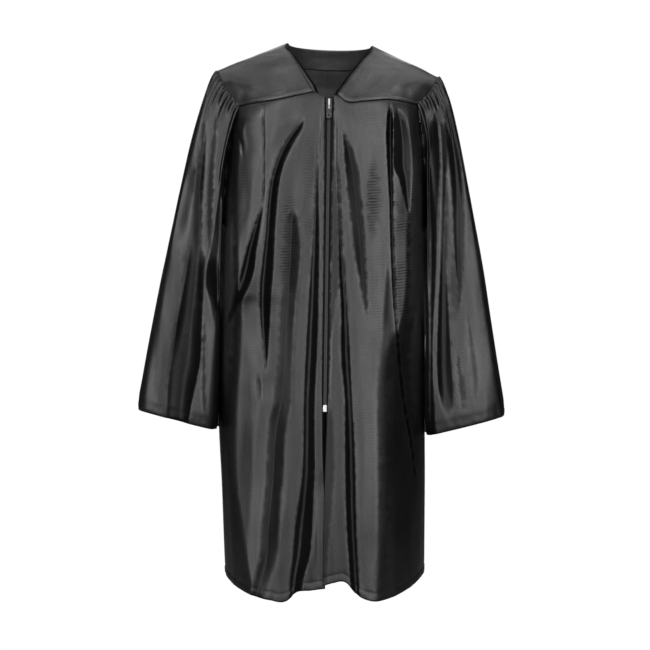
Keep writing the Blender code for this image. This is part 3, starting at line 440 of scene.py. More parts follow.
# Painted shade that no fold of its own carries, in the same way as the bands
FRONT_PAINTED_SHADES = {
    LEFT: (
        {"dark": 0.72, "soft": (0.6, 1.2), "path": (
            (-70, 0, 5.6), (-150, 0, 5.2), (-300, 0, 4.6), (-436, 0, 4.2))},
    ),
    RIGHT: (
        # Beside the zip, and the fold of the slit's edge
        {"dark": 0.80, "soft": (0.6, 1.2), "path": (
            (-70, 0, 6.2), (-150, 0, 5.8), (-300, 0, 5.2), (-436, 0, 4.8))},
        {"dark": 0.50, "soft": (1.0, 2.5), "path": (
            (-110, 4, 4.5), (-140, 3.5, 6.5), (-210, 3.5, 14.5), (-265, 4, 17.5), (-300, 4, 14),
            (-345, 4, 7), (-420, 3.5, 4.5))},
        {"dark": 0.52, "soft": (1.0, 2.6), "path": (
            (-440, -1, 8), (-470, -1, 10.5), (-520, -1, 11.5), (-560, -1, 9), (-610, -1, 5.5),
            (-650, -1, 4.5))},
    ),
}
# The bands and patches of a sleeve lie this much further out than their tables say
SLEEVE_SHIFT = {LEFT: 0.0, RIGHT: 0.003}
# Patches of painted light and shade on the sleeves, in the same way
SLEEVE_PAINTED_LIGHT_PATCHES = {
    LEFT: (
        (174, -395, 13, 60, -0.42, 0.1), (182, -300, 8, 60, -0.26, 0.1), (160, -140, 10, 50, 0.05, 0.3),
        (163, -300, 8, 46, -0.48, 0.1), (194, -392, 8, 60, -0.30, 0.1), (155, -200, 5, 56, -0.60, 0.1),
        (140, -195, 3.5, 45, -0.50, 0.1), (152, -438, 8, 24, 0.15, 0.1),
    ),
    RIGHT: (
        (165, -405, 18, 46, 0.26, 0.25), (150, -290, 6, 44, -0.45, 0.3), (178, -180, 14, 70, -0.50, 0.1),
        (196, -290, 15, 80, -0.50, 0.1), (210, -390, 15, 70, -0.45, 0.1),
    ),
}
# Patches of painted light and shade on the yokes, in the same way
YOKE_PAINTED_LIGHT_PATCHES = {
    LEFT: (
        (117, -72, 13, 14, 1.3, 0.1), (100, -76, 12, 12, 0.55, 0.1), (78, -26, 34, 15, -0.34, 0.2),
        (54, -50, 15, 24, 0.30, 0.1), (30, -84, 14, 7, -0.08, 0.2),
    ),
    RIGHT: (
        (86, -70, 12, 13, 0.55, 0.2), (104, -70, 12, 12, 0.8, 0.2), (66, -50, 40, 26, 0.42, 0.45),
        (24, -70, 12, 20, 0.0, 0.4),
    ),
}
# How far out the front lies nearly flat before it turns to the side: height, distance
FRONT_FLAT_TO = {
    LEFT: (
        (-70, 108), (-110, 114), (-160, 115), (-220, 114), (-262, 112), (-288, 110), (-318, 106),
        (-345, 106), (-400, 108), (-440, 111), (-490, 112), (-530, 110), (-570, 104), (-600, 99),
        (-650, 88),
    ),
    RIGHT: (
        (-70, 104), (-110, 107), (-160, 108), (-200, 105), (-225, 101), (-300, 99), (-335, 94), (-360, 82),
        (-385, 70), (-430, 67), (-560, 67), (-650, 66),
    ),
}
# Of the body's own turn, how much the cloth between two troughs keeps; how far it may stand off, and the
# stretch over which it turns to the side
TERRACE_TURN = {"front": 0.62, "back": 0.65}
LEVEL_MOST = 0.30
STAND_OFF = 0.011
SINK_SHARE = 0.6
TURN_IN = 0.010
# The drape fades out at a panel's top edge and armhole, and runs on through the side seam below
TOP_FADE = 0.026
EDGE_FADE = 0.016
SIDE_SEAM_FADE = 0.03
EVEN_ROWS = 3
ZIP_FLAT = 0.0075
ZIP_FADE = 0.004
# Below the stop the left front's edge lies under the right one's
UNDERLAP = 0.0038
UNDERLAP_REACH = 0.014
UNDERLAP_SINK = 0.0024
UNDERLAP_SINKS_BY = 1.6
UNDERLAP_FROM = -0.500
UNDERLAP_FADE = 0.05

# Drape of the back, in the same way, falling away from its middle
BACK_BANDS = {
    LEFT: (
        {"slope": 0.72, "fall": 0.62, "soft": (2.8, 3.4), "reach": 18, "path": (
            (-104, 16, 17), (-125, 14, 20), (-200, 14, 24), (-330, 15, 29), (-470, 17, 32), (-600, 18, 36),
            (-690, 20, 38))},
        {"slope": 0.64, "fall": 0.40, "soft": (3.6, 3.0), "reach": 16, "path": (
            (-150, 40, 41), (-190, 38, 45), (-300, 40, 50), (-420, 43, 54), (-560, 46, 60),
            (-690, 50, 66))},
        {"slope": 0.85, "fall": 0.66, "soft": (2.6, 3.0), "reach": 18, "path": (
            (-106, 56, 57), (-140, 54, 61), (-230, 57, 68), (-360, 62, 77), (-500, 68, 84),
            (-690, 74, 92))},
        {"slope": 0.90, "fall": 0.62, "soft": (2.4, 3.0), "reach": 14, "path": (
            (-150, 78, 79), (-190, 79, 87), (-260, 83, 96), (-330, 90, 102), (-400, 98, 99))},
    ),
    RIGHT: (
        {"slope": 0.60, "fall": 0.45, "soft": (3.0, 3.0), "reach": 16, "path": (
            (-112, 6, 7), (-150, 4, 9), (-300, 4, 13), (-450, 4, 15), (-690, 5, 18))},
        {"slope": 0.80, "fall": 0.62, "soft": (2.8, 3.4), "reach": 18, "path": (
            (-104, 29, 30), (-130, 26, 33), (-220, 27, 38), (-340, 29, 43), (-480, 31, 47),
            (-690, 34, 53))},
        {"slope": 0.76, "fall": 0.62, "soft": (3.0, 3.4), "reach": 18, "path": (
            (-118, 60, 61), (-160, 58, 65), (-250, 62, 74), (-380, 66, 80), (-520, 67, 84),
            (-690, 69, 88))},
        {"slope": 0.92, "fall": 0.62, "soft": (2.6, 3.0), "reach": 14, "path": (
            (-165, 84, 85), (-205, 84, 92), (-270, 88, 99), (-350, 95, 104), (-410, 102, 103))},
    ),
}
# Patches of painted light and shade on the back, in the same way
BACK_PAINTED_LIGHT_PATCHES = {
    LEFT: ((30, -180, 16, 70, 0.08, 0.6), (80, -420, 18, 110, 0.08, 0.2), (50, -300, 10, 60, -0.1, 0.8)),
    RIGHT: ((48, -220, 14, 80, 0.06, 0.7), (18, -480, 14, 120, 0.12, 0.1), (86, -420, 12, 90, -0.12, 0.3)),
}
BACK_FLAT_TO = {
    LEFT: ((-90, 104), (-160, 108), (-300, 104), (-450, 100), (-680, 94)),
    RIGHT: ((-90, 102), (-160, 106), (-300, 102), (-450, 98), (-680, 92)),
}

# Drape of the sleeves' fronts, in the same way, from the gown's middle outwards
SLEEVE_BANDS = {
    LEFT: (
        # Broad outer trough
        {"slope": 0.86, "fall": 0.50, "soft": (2.2, 4.0), "reach": 14, "path": (
            (-98, 148, 150), (-118, 148, 152), (-153, 147.5, 155), (-200, 149, 159), (-247, 148.5, 163),
            (-294, 147, 169), (-341, 146.5, 177), (-388, 147, 183), (-420, 153, 187), (-450, 159, 188),
            (-490, 163, 188))},
        # Trough between the two ridges
        {"slope": 1.05, "fall": 0.50, "soft": (1.8, 1.8), "reach": 8, "path": (
            (-96, 134, 136), (-118, 133.5, 138.5), (-153, 135.5, 141), (-200, 137, 143), (-240, 137, 142.5),
            (-260, 138.5, 140.5))},
        # Pocket under the arm
        {"slope": 1.30, "fall": 0.20, "soft": (2.0, 2.4), "reach": 8, "path": (
            (-262, 132, 137), (-276, 129, 142.5), (-300, 126, 143), (-318, 126, 136), (-338, 127, 130))},
        # Narrow fold down to the hem
        {"slope": 1.30, "fall": 0.50, "soft": (1.2, 1.2), "reach": 6, "path": (
            (-330, 143, 144), (-365, 142.6, 145.4), (-400, 141.6, 145.4), (-435, 140.6, 144.6),
            (-453, 141, 143))},
        # Faint fold near the hem
        {"slope": 0.55, "fall": 0.50, "soft": (2.4, 2.4), "reach": 8, "dark": 0.3, "path": (
            (-352, 166, 168), (-400, 168, 174), (-440, 170, 178), (-490, 172, 180))},
    ),
    RIGHT: (
        # Hollow beside the armhole
        {"slope": 1.05, "fall": 0.26, "soft": (2.0, 2.2), "reach": 10, "path": (
            (-92, 112, 125), (-118, 112, 128.5), (-149, 113, 130.5), (-196, 116, 129.5), (-243, 119, 127.5),
            (-290, 120, 126), (-337, 120, 124), (-400, 120, 124), (-440, 120, 127), (-490, 120, 130))},
        # First trough
        {"slope": 0.95, "fall": 0.50, "soft": (1.8, 2.2), "reach": 8, "path": (
            (-140, 135.5, 136.5), (-196, 135.5, 140), (-243, 134.5, 140), (-290, 131, 140.5),
            (-337, 129.5, 143.5), (-384, 129, 146.5), (-418, 131, 149.5), (-437, 136, 150),
            (-450, 142, 148))},
        # Second trough
        {"slope": 0.90, "fall": 0.50, "soft": (2.0, 2.2), "reach": 10, "path": (
            (-76, 137, 139), (-90, 135, 145), (-102, 135.5, 148.5), (-149, 141.5, 156), (-196, 145, 159),
            (-243, 147, 160), (-290, 151, 158), (-312, 153, 156), (-326, 154, 155))},
        # Two faint folds above the hem
        {"slope": 0.50, "fall": 0.50, "soft": (3.0, 3.0), "reach": 8, "dark": 0.25, "path": (
            (-330, 164, 166), (-370, 166, 172), (-410, 170, 177), (-432, 173, 176))},
        {"slope": 0.45, "fall": 0.50, "soft": (2.6, 2.6), "reach": 7, "path": (
            (-372, 152, 153), (-400, 154, 159), (-430, 158, 163), (-448, 161, 163))},
    ),
}
# Gathers of a sleeve's head: turn round the arm, half-width in turns, height, length down the sleeve
GATHERS = {
    LEFT: (
        (0.020, 0.016, 2.6, 0.20), (0.052, 0.014, 3.2, 0.16), (0.084, 0.013, 2.4, 0.26),
        (0.112, 0.012, 3.4, 0.18), (0.140, 0.012, 2.8, 0.30), (0.168, 0.013, 3.6, 0.20),
        (0.199, 0.014, 2.6, 0.14), (0.228, 0.013, 3.2, 0.24), (0.259, 0.014, 2.2, 0.16),
        (0.290, 0.013, 2.8, 0.26), (0.322, 0.014, 2.0, 0.14), (0.356, 0.015, 1.8, 0.20),
        (0.398, 0.018, 1.2, 0.12), (0.965, 0.016, 2.8, 0.22), (0.930, 0.014, 3.0, 0.18),
        (0.896, 0.013, 2.4, 0.26), (0.864, 0.014, 3.2, 0.16), (0.830, 0.013, 2.6, 0.24),
        (0.797, 0.014, 2.8, 0.18), (0.762, 0.015, 2.2, 0.22), (0.722, 0.016, 2.0, 0.14),
        (0.682, 0.018, 1.6, 0.20), (0.640, 0.020, 1.0, 0.12),
    ),
    RIGHT: (
        (0.012, 0.015, 2.8, 0.22), (0.044, 0.014, 3.0, 0.16), (0.075, 0.013, 2.2, 0.28),
        (0.105, 0.013, 3.4, 0.18), (0.136, 0.013, 2.6, 0.22), (0.163, 0.012, 3.4, 0.32),
        (0.192, 0.013, 2.8, 0.16), (0.222, 0.014, 3.4, 0.24), (0.254, 0.014, 2.4, 0.14),
        (0.284, 0.013, 3.0, 0.22), (0.317, 0.014, 2.0, 0.16), (0.352, 0.016, 1.6, 0.22),
        (0.392, 0.018, 1.2, 0.12), (0.972, 0.016, 2.6, 0.24), (0.938, 0.014, 3.0, 0.16),
        (0.905, 0.013, 2.6, 0.24), (0.872, 0.014, 3.2, 0.18), (0.840, 0.013, 2.4, 0.22),
        (0.806, 0.014, 2.8, 0.16), (0.770, 0.015, 2.4, 0.24), (0.730, 0.016, 1.8, 0.16),
        (0.690, 0.018, 1.6, 0.20), (0.646, 0.020, 1.0, 0.12),
    ),
}
GATHER_GAIN = 1.5
# How strongly painted shade darkens the cloth between the gathers
GATHER_PAINTED_SHADE = 0.78
# A gather opens out from the first share of its width by the second share down its length
GATHER_WIDENS = (0.85, 0.9)
# Shares of the sleeve over which its gathers and the painted shade between them begin
GATHER_IN = 0.022
GATHER_PAINTED_SHADE_IN = 0.015
# Under the gathers the cloth sinks by this much, from the first of these shares of the sleeve to the second
GATHER_SINK = 0.0018
GATHER_SINK_FROM = 0.02
GATHER_SINK_TO = 0.16
# Folds round the back of each sleeve: turn at the head and at the hem, half-width, depth (out + or in -)
SLEEVE_BACK_FOLDS = {
    LEFT: (
        (0.585, 0.575, 0.040, 0.0045), (0.655, 0.640, 0.035, -0.0055), (0.715, 0.700, 0.035, 0.0040),
        (0.780, 0.760, 0.040, -0.0060), (0.845, 0.830, 0.040, 0.0050), (0.915, 0.900, 0.045, -0.0045),
    ),
    RIGHT: (
        (0.570, 0.560, 0.035, -0.0045), (0.630, 0.620, 0.038, 0.0050), (0.700, 0.685, 0.036, -0.0055),
        (0.765, 0.750, 0.040, 0.0040), (0.830, 0.815, 0.038, -0.0060), (0.900, 0.890, 0.045, 0.0040),
    ),
}
# The share of a sleeve at which those folds begin, and over which they grow
SLEEVE_BACK_FOLDS_IN = (0.12, 0.3)


def smooth(place, table, column=1):
    """A smooth curve through one column of a table whose first column rises or falls steadily."""
    at = np.array([row[0] for row in table], float)
    value = np.array([row[column] for row in table], float)
    if at[0] > at[-1]:
        at, value = at[::-1], value[::-1]
    slope = np.gradient(value, at)
    place = np.clip(np.asarray(place, float), at[0], at[-1])
    i = np.clip(np.searchsorted(at, place) - 1, 0, len(at) - 2)
    step = at[i + 1] - at[i]
    t = (place - at[i]) / step
    rise = (2 * t**3 - 3 * t**2 + 1) * value[i] + (-2 * t**3 + 3 * t**2) * value[i + 1]
    return rise + step * ((t**3 - 2 * t**2 + t) * slope[i] + (t**3 - t**2) * slope[i + 1])


def ease(value):
    """0 below 0, 1 above 1, smooth between."""
    value = np.clip(value, 0.0, 1.0)
    return value * value * (3 - 2 * value)


def ring_sizes(side, face, height):
    """Half-width and depth of the body's ring at a height."""
    width = smooth(height, BODY_RINGS, 1 if side == LEFT else 2)
    depth = smooth(height, BODY_RINGS, 3 if face == "front" else 4)
    return width, depth


def ring_angle(distance, width):
    """The angle from the middle of a ring at which it is this far to the side."""
    share = np.clip(distance / width, 0.0, 1.0) ** (RING_POWER / 2)
    return np.arcsin(share)


def uneven(points, size, seed):
    """Smooth uneven values, about -1 to 1, at the points of a grid."""
    flat = np.asarray(points, float).reshape(-1, 3) / size
    values = [noise.noise(Vector((x, y, z + seed))) for x, y, z in flat]
    return np.array(values).reshape(np.asarray(points).shape[:-1]) * 1.6


def ring_face(side, face, angle, height):
    """Points of the plain body, and the distance of each from the gown's middle."""
    width, depth = ring_sizes(side, face, height)
    out = np.sin(angle) ** (2 / RING_POWER)
    ahead = np.abs(np.cos(angle)) ** (2 / RING_POWER)
    facing = -1 if face == "front" else 1
    height = np.broadcast_to(height, (out * width).shape)
    return np.stack([side * out * width, facing * ahead * depth, height], -1)


def band_course(band, tall):
    """The inner and outer edge of a band at each height; 1 where it runs, 0 past its ends."""
    path = band["path"]
    inner, outer = (smooth(tall, path, column) for column in (1, 2))
    within = ease((path[0][0] + 1 - tall) / BAND_END) * ease((tall - path[-1][0] + 1) / BAND_END)
    return inner, outer, within


def steepness(distance, height, level, bands):
    """How steeply the cloth falls away outwards: its level slope with the bands laid over it. What a band
    falls in all, the cloth rises again on both sides of it, over its reach."""
    slope = level
    comeback = 0.0
    place, tall = distance / MM, height / MM
    for band in bands:
        inner, outer, within = band_course(band, tall)
        half = 0.5 * (outer - inner)
        soft_in, soft_out = (np.minimum(soft, 0.5 + 1.2 * np.maximum(half, 0)) for soft in band["soft"])
        mask = ease((place - inner) / soft_in + 0.5) * ease((outer - place) / soft_out + 0.5) * within
        bottom = inner + (outer - inner) * band["fall"]
        way = 1 - 2 * ease((place - bottom) / VALLEY + 0.5)
        slope = slope + (band["slope"] * way - slope) * mask
        fall = band["slope"] * 2 * half * (2 * band["fall"] - 1) * within
        reach = band["reach"]
        before = np.clip((inner - place) / reach, 0, 1)
        after = np.clip((place - outer) / reach, 0, 1)
        comeback = comeback + 3 * fall / reach * (before * (1 - before) + after * (1 - after))
    return slope - comeback


def mean_steepness(middle, run, tall, level, bands, parts=7):
    """The steepness over each step between two columns, which is coarser than a fold's bottom is wide."""
    shares = (np.arange(parts) + 0.5) / parts - 0.5
    return sum(steepness(middle + run * share, tall, level, bands) for share in shares) / len(shares)


def band_mask(place, tall, band, give=0.0):
    """1 inside a band, 0 outside it, soft between; give widens its edges unevenly."""
    inner, outer, within = band_course(band, tall)
    wide = np.maximum(outer - inner, 0)
    give = np.clip(give, -0.3 * wide, 0.3 * wide + PAINTED_RIM_WIDE)
    soft_in, soft_out = (np.minimum(1.8 * soft, 0.5 + 0.7 * wide) for soft in band["soft"])
    begun = ease((place + give - inner) / soft_in + 0.5)
    return begun * ease((outer - place + give) / soft_out + 0.5) * within


def painted_light_and_ribs_of(distance, height, bands, patches):
    """The painted light on the cloth's colour at each point: painted shade in the bands' hollows, a painted
    highlight round them and patches of painted light and shade; and how strongly its cross ribs show.
    """
    place, tall = distance / MM, height / MM
    points = np.stack([place * 0.55, tall, place * 0], -1)
    give = sum(uneven(points, size, 91 + number) * high for number, (high, size) in enumerate(RAGGED))
    painted_light, ribs = np.ones(place.shape), np.zeros(place.shape)
    # Painted shade in each band's hollow, a painted highlight on the rim round it
    for band in bands:
        hollow = band_mask(place, tall, band, give)
        rim = band_mask(place, tall, band, give + PAINTED_RIM_WIDE) - hollow
        painted_light = painted_light * (1 - band.get("dark", HOLLOW_PAINTED_SHADE) * hollow) * (1 + RIM_PAINTED_HIGHLIGHT * rim)
    # Patches of painted light and shade
    for across, level, half_wide, half_high, change, ribbed in patches:
        away = np.hypot((place + 2 * give - across) / half_wide, (tall - level) / half_high)
        near = ease((1.35 - away) / 0.7)
        painted_light = painted_light * (1 + change * near)
        ribs = np.maximum(ribs, ribbed * near)
    return painted_light, ribs


def smoothed_down(values, reach):
    """Evens out values down the columns of a grid, over reach rows either way."""
    weights = np.concatenate([np.arange(1, reach + 2), np.arange(reach, 0, -1)]) / (reach + 1) ** 2
    above, below = (np.repeat(edge, reach, axis=0) for edge in (values[:1], values[-1:]))
    padded = np.concatenate([above, values, below])
    return sum(weight * padded[number : number + len(values)] for number, weight in enumerate(weights))


def lay_drape(grid, side, face, bands, flat_to, top, edge):
    """Moves a body panel's cloth in and out so that it lies in troughs and level stretches."""
    distance = np.abs(grid[..., 0])
    depth = np.abs(grid[..., 1])
    height = grid[..., 2]
    run = np.diff(distance, axis=1)
    fall = -np.diff(depth, axis=1) / np.maximum(run, 1e-5)
    middle = 0.5 * (distance[:, 1:] + distance[:, :-1])
    tall = 0.5 * (height[:, 1:] + height[:, :-1])
    limit, outer = (MM * smooth(at / MM, flat_to) for at in (tall, height))
    level = LEVEL_MOST * np.tanh(fall * TERRACE_TURN[face] / LEVEL_MOST)
    slope = mean_steepness(middle, run, tall, level, bands)
    flat = ease((limit - middle) / TURN_IN)
    rise = (fall - slope) * flat * run
    start = np.zeros((len(grid), 1))
    lift = np.concatenate([start, np.cumsum(rise, axis=1)], axis=1)
    # The cloth never stands further off than its share: the rest is taken back evenly across the panel
    end = lift[:, -1:]
    excess = end - np.clip(end, -SINK_SHARE * STAND_OFF, STAND_OFF)
    lift = lift - excess * np.clip(distance / outer, 0, 1)
    width, _ = ring_sizes(side, face, height)
    lift = lift * ease((edge - distance) / EDGE_FADE) * ease((top - height) / TOP_FADE)
    lift = lift * ease((width - distance) / (width - outer))
    return smoothed_down(lift, EVEN_ROWS)


def row_height(top, hem, row, armhole_rows, skirt_rows):
    """Height of a row of a body panel: the armhole rows end level with the underarm."""
    if row <= armhole_rows:
        return top + (UNDERARM - top) * (1 - (1 - row / armhole_rows) ** ARMHOLE_EASE)
    return UNDERARM + (hem - UNDERARM) * (row - armhole_rows) / skirt_rows


def edge_angle(side, face, height):
    """The angle of a panel's outer edge: on the armhole seam, then on the side seam."""
    return np.radians(smooth(height, ARMHOLE_EDGE[face, side]))


def edge_distance(side, face, heights):
    """How far out the drape of a panel ends: at the armhole, then beyond the side seam."""
    width, _ = ring_sizes(side, face, heights)
    edge = width * np.sin(edge_angle(side, face, heights)) ** (2 / RING_POWER)
    beyond = EDGE_FADE * ease((UNDERARM - heights) / SIDE_SEAM_FADE)
    return np.where(heights > UNDERARM, edge, edge + beyond)


def front_angle(side, share, height):
    """The angle of a front column at a height: share 0 at the zip, 1 at the outer edge."""
    width, _ = ring_sizes(side, "front", height)
    first = ring_angle(smooth(height, FRONT_OPENING, 1 if side == LEFT else 2), width)
    last = edge_angle(side, "front", height)
    return first + (last - first) * share


def front_shares(side):
    """The places of the front's columns: one of them meets the V corner."""
    height = float(smooth(V_CORNER[side], FRONT_TOP[side]))
    first, last = (float(front_angle(side, share, height)) for share in (0, 1))
    width, _ = ring_sizes(side, "front", height)
    corner = (float(ring_angle(V_CORNER[side], width)) - first) / (last - first)
    inner = np.linspace(0, corner, V_COLUMNS[side] + 1)
    outer = np.linspace(corner, 1, FRONT_COLUMNS - V_COLUMNS[side] + 1)
    return np.concatenate([inner, outer[1:]])


def settle(height_of, first):
    """Finds the height that fits a curve which itself depends on the height."""
    height = first
    for _ in range(SETTLE_ROUNDS):
        height = 0.5 * height + 0.5 * height_of(height)
    return height


def front_grid(side):
    """Rows and columns of a front panel, from the top edge to the hem and from the zip to the side."""
    shares = front_shares(side)

    def reach(height):
        width, _ = ring_sizes(side, "front", height)
        return width * np.sin(front_angle(side, shares, height)) ** (2 / RING_POWER)

    top, hem = (
        settle(lambda height: smooth(reach(height), table), np.full(shares.shape, guess))
        for table, guess in ((FRONT_TOP[side], TOP_GUESS), (HEM["front", side], HEM_GUESS))
    )
    heights, angles = [], []
    for row in range(2 * ARMHOLE_ROWS + FRONT_SKIRT_ROWS + 1):
        height = row_height(top, hem, row, 2 * ARMHOLE_ROWS, FRONT_SKIRT_ROWS)
        heights.append(height)
        angles.append(front_angle(side, shares, height))
    heights = np.array(heights)
    grid = ring_face(side, "front", np.array(angles), heights)
    edge = edge_distance(side, "front", heights)
    lift = lay_drape(grid, side, "front", FRONT_BANDS[side], FRONT_FLAT_TO[side], top, edge)
    lift = lift * ease((np.abs(grid[..., 0]) - ZIP_FLAT) / ZIP_FADE)
    grid[..., 1] -= lift
    if side == LEFT:
        under = 1 - np.clip(np.abs(grid[..., 0]) / UNDERLAP_REACH, 0, 1)
        under = under * ease((UNDERLAP_FROM - grid[..., 2]) / UNDERLAP_FADE)
        grid[..., 0] += UNDERLAP * under
        grid[..., 1] += UNDERLAP_SINK * ease(under * UNDERLAP_SINKS_BY)
    return grid


def back_grid():
    """Rows and columns of the back, from the yoke seam to the hem and from the left side to the right."""
    halves = []
    for side in (LEFT, RIGHT):
        shares = np.linspace(0, 1, BACK_HALF_COLUMNS + 1)
        top = BACK_YOKE_SEAM + (ARMHOLE_EDGE["back", side][0][0] - BACK_YOKE_SEAM) * shares
        hem = smooth(shares * BACK_HEM_REACH, HEM["back", side])
        heights = np.array([
            row_height(top, hem, row, ARMHOLE_ROWS, BACK_SKIRT_ROWS)
            for row in range(ARMHOLE_ROWS + BACK_SKIRT_ROWS + 1)
        ])
        angle = edge_angle(side, "back", heights)
        grid = ring_face(side, "back", angle * shares, heights)
        edge = edge_distance(side, "back", heights)
        lift = lay_drape(grid, side, "back", BACK_BANDS[side], BACK_FLAT_TO[side], top, edge)
        grid[..., 1] += lift
        halves.append(grid)
    return np.concatenate([halves[0][:, ::-1], halves[1][:, 1:]], axis=1)


def lengths_along(points):
    """The length of a line of points up to each of them."""
    return np.concatenate([[0], np.cumsum(np.linalg.norm(np.diff(points, axis=0), axis=1))])


def curve_through(points, count):
    """Even steps along a smooth curve through a few points."""
    points = np.array(points, float)
    along = lengths_along(points)
    places = np.linspace(0, along[-1], count + 1)
    table = np.column_stack([along, points])
    return np.stack([smooth(places, table, axis) for axis in (1, 2, 3)], -1)


def between(first_row, last_row, first_column, last_column, first_weight, last_weight):
    """A sheet between four edges. The weights say how far in the bow of each outer column is felt."""
    down = np.linspace(0, 1, len(first_column))[:, None]
    ruled = (1 - down[..., None]) * first_row + down[..., None] * last_row
    first_bow = first_column - (1 - down) * first_column[0] - down * first_column[-1]
    last_bow = last_column - (1 - down) * last_column[0] - down * last_column[-1]
    return ruled + first_bow[:, None] * first_weight[:, None] + last_bow[:, None] * last_weight[:, None]


def front_yoke_grid(side, seam):
    """Rows from the shoulder seam to the yoke seam, columns from the neck edge to the armhole."""
    neck = curve_through((NECK_POINT[side],) + NECK_EDGE[side] + (seam[0],), YOKE_ROWS)
    armhole = curve_through((SHOULDER_POINT[side],) + YOKE_ARMHOLE["front", side] + (seam[-1],), YOKE_ROWS)
    shoulder = np.linspace(NECK_POINT[side], SHOULDER_POINT[side], len(seam))
    across = np.linspace(0, 1, len(seam))
    grid = between(shoulder, seam, neck, armhole, 1 - across, across)
    down = np.linspace(0, 1, YOKE_ROWS + 1)[:, None]
    grid[..., 2] += YOKE_CROWN * np.sin(np.pi * down) * np.sin(np.pi * across)
    return grid


def back_yoke_grid(seam):
    """Rows from the shoulders and back neck to the yoke seam, columns from left armhole to right."""
    left, right = (np.array(NECK_POINT[side]) for side in (LEFT, RIGHT))
    steps = 2 * BACK_HALF_COLUMNS - 2 * SHOULDER_COLUMNS
    turn = np.linspace(0, math.pi, steps + 1)
    share = (1 - np.cos(turn))[:, None] / 2
    neck = left + (right - left) * share
    neck[:, 1] = BACK_NECK_DEPTH * np.sin(turn) ** BACK_NECK_ROUND
    neck[:, 2] -= BACK_NECK_DIP * np.sin(turn)
    first = np.linspace(SHOULDER_POINT[LEFT], left, SHOULDER_COLUMNS + 1)
    last = np.linspace(right, SHOULDER_POINT[RIGHT], SHOULDER_COLUMNS + 1)
    top = np.concatenate([first[:-1], neck, last[1:]])
    edges = [
        curve_through((SHOULDER_POINT[side],) + YOKE_ARMHOLE["back", side] + (corner,), YOKE_ROWS)
        for side, corner in ((LEFT, seam[0]), (RIGHT, seam[-1]))
    ]
    across = np.linspace(0, 1, 2 * BACK_HALF_COLUMNS + 1)
    reach = BACK_YOKE_BOW_REACH
    grid = between(top, seam, edges[0], edges[1], ease(1 - across / reach), ease(1 - (1 - across) / reach))
    down = np.linspace(0, 1, YOKE_ROWS + 1)[:, None]
    grid[..., 1] += BACK_YOKE_CROWN * np.sin(np.pi * down) * np.sin(np.pi * across)
    return grid


def bump(offset):
    """A round bump: 1 at 0, 0 from -1 and 1 on."""
    return 0.5 + 0.5 * np.cos(np.pi * np.clip(offset, -1, 1))


def crest(offset):
    """A bump with a sharper top."""
    return (1 - np.clip(np.abs(offset), 0, 1)) ** 1.6


def off_rim(share):
    """1 on the front of a sleeve, 0 at its inner and outer edge."""
    return ease(share / SLEEVE_RIM[0]) * ease((1 - share) / SLEEVE_RIM[1])


def sleeve_front_lift(side, grid):
    """How far the front of a sleeve moves out, so that its cloth lies in ridges and troughs."""
    half = grid.shape[1] // 2
    face = grid[:, : half + 1]
    distance = face[..., 0] * side
    depth = -face[..., 1]
    height = face[..., 2]
    run = np.diff(distance, axis=1)
    middle = 0.5 * (distance[:, 1:] + distance[:, :-1])
    tall = 0.5 * (height[:, 1:] + height[:, :-1])
    safe = np.where(np.abs(run) < 1e-5, -1e-5, run)
    fall = -np.diff(depth, axis=1) / safe
    inner = distance.min(axis=1, keepdims=True)
    outer = distance.max(axis=1, keepdims=True)
    share = (middle - inner) / (outer - inner)
    fall = np.clip(fall, -SLEEVE_STEEPEST, SLEEVE_STEEPEST)
    level = SLEEVE_LEVEL_MOST * np.tanh(fall * SLEEVE_TURN / SLEEVE_LEVEL_MOST)
    slope = mean_steepness(middle - SLEEVE_SHIFT[side], run, tall, level, SLEEVE_BANDS[side])
    rise = (fall - slope) * off_rim(share) * run
    lift = np.concatenate([np.zeros((len(grid), 1)), np.cumsum(rise, axis=1)], axis=1)
    nose = np.argmax(depth, axis=1)
    lift = lift - lift[np.arange(len(grid)), nose][:, None]
    middle_lift = 0.5 * (lift.max(axis=1, keepdims=True) + lift.min(axis=1, keepdims=True))
    lift = lift - SLEEVE_CENTRING * middle_lift
    lift = SLEEVE_STAND_OFF * np.tanh(lift / SLEEVE_STAND_OFF)
    lift = lift * off_rim((distance - inner) / (outer - inner))
    down = np.linspace(0, 1, len(grid))[:, None]
    head, grown = SLEEVE_DRAPE_IN
    return smoothed_down(lift * ease((down - head) / grown), SLEEVE_EVEN_ROWS)


def sleeve_shares():
    """How far down its sleeve each row lies: 0 at the armhole, 1 at the hem."""
    return (np.arange(SLEEVE_ROWS + 1) / SLEEVE_ROWS)[:, None] ** SLEEVE_EASE


def gather_offset(turn, centre, half, long, t):
    """How far round the arm each point lies from a gather, and half of the gather's width there."""
    first, more = GATHER_WIDENS
    return (turn - centre + 0.5) % 1 - 0.5, half * (first + more * t / long)


def clear_of_body(side, grid, t):
    """Moves the inner side of a sleeve out to where it just clears the body."""
    height, ahead = grid[..., 2], grid[..., 1]
    width, front = ring_sizes(side, "front", height)
    _, back = ring_sizes(side, "back", height)
    depth = np.where(ahead < 0, front, back)
    reach = width * (1 - np.clip(np.abs(ahead) / depth, 0, 1) ** RING_POWER) ** (1 / RING_POWER)
    near = reach + BODY_CLEARANCE * ease(t / CLEARANCE_IN)
    distance = grid[..., 0] * side
    below = (height < UNDERARM + CLEARANCE_ABOVE) & (t > 0.001)
    grid = grid.copy()
    grid[..., 0] = np.where(below, np.maximum(distance, near), distance) * side
    return grid


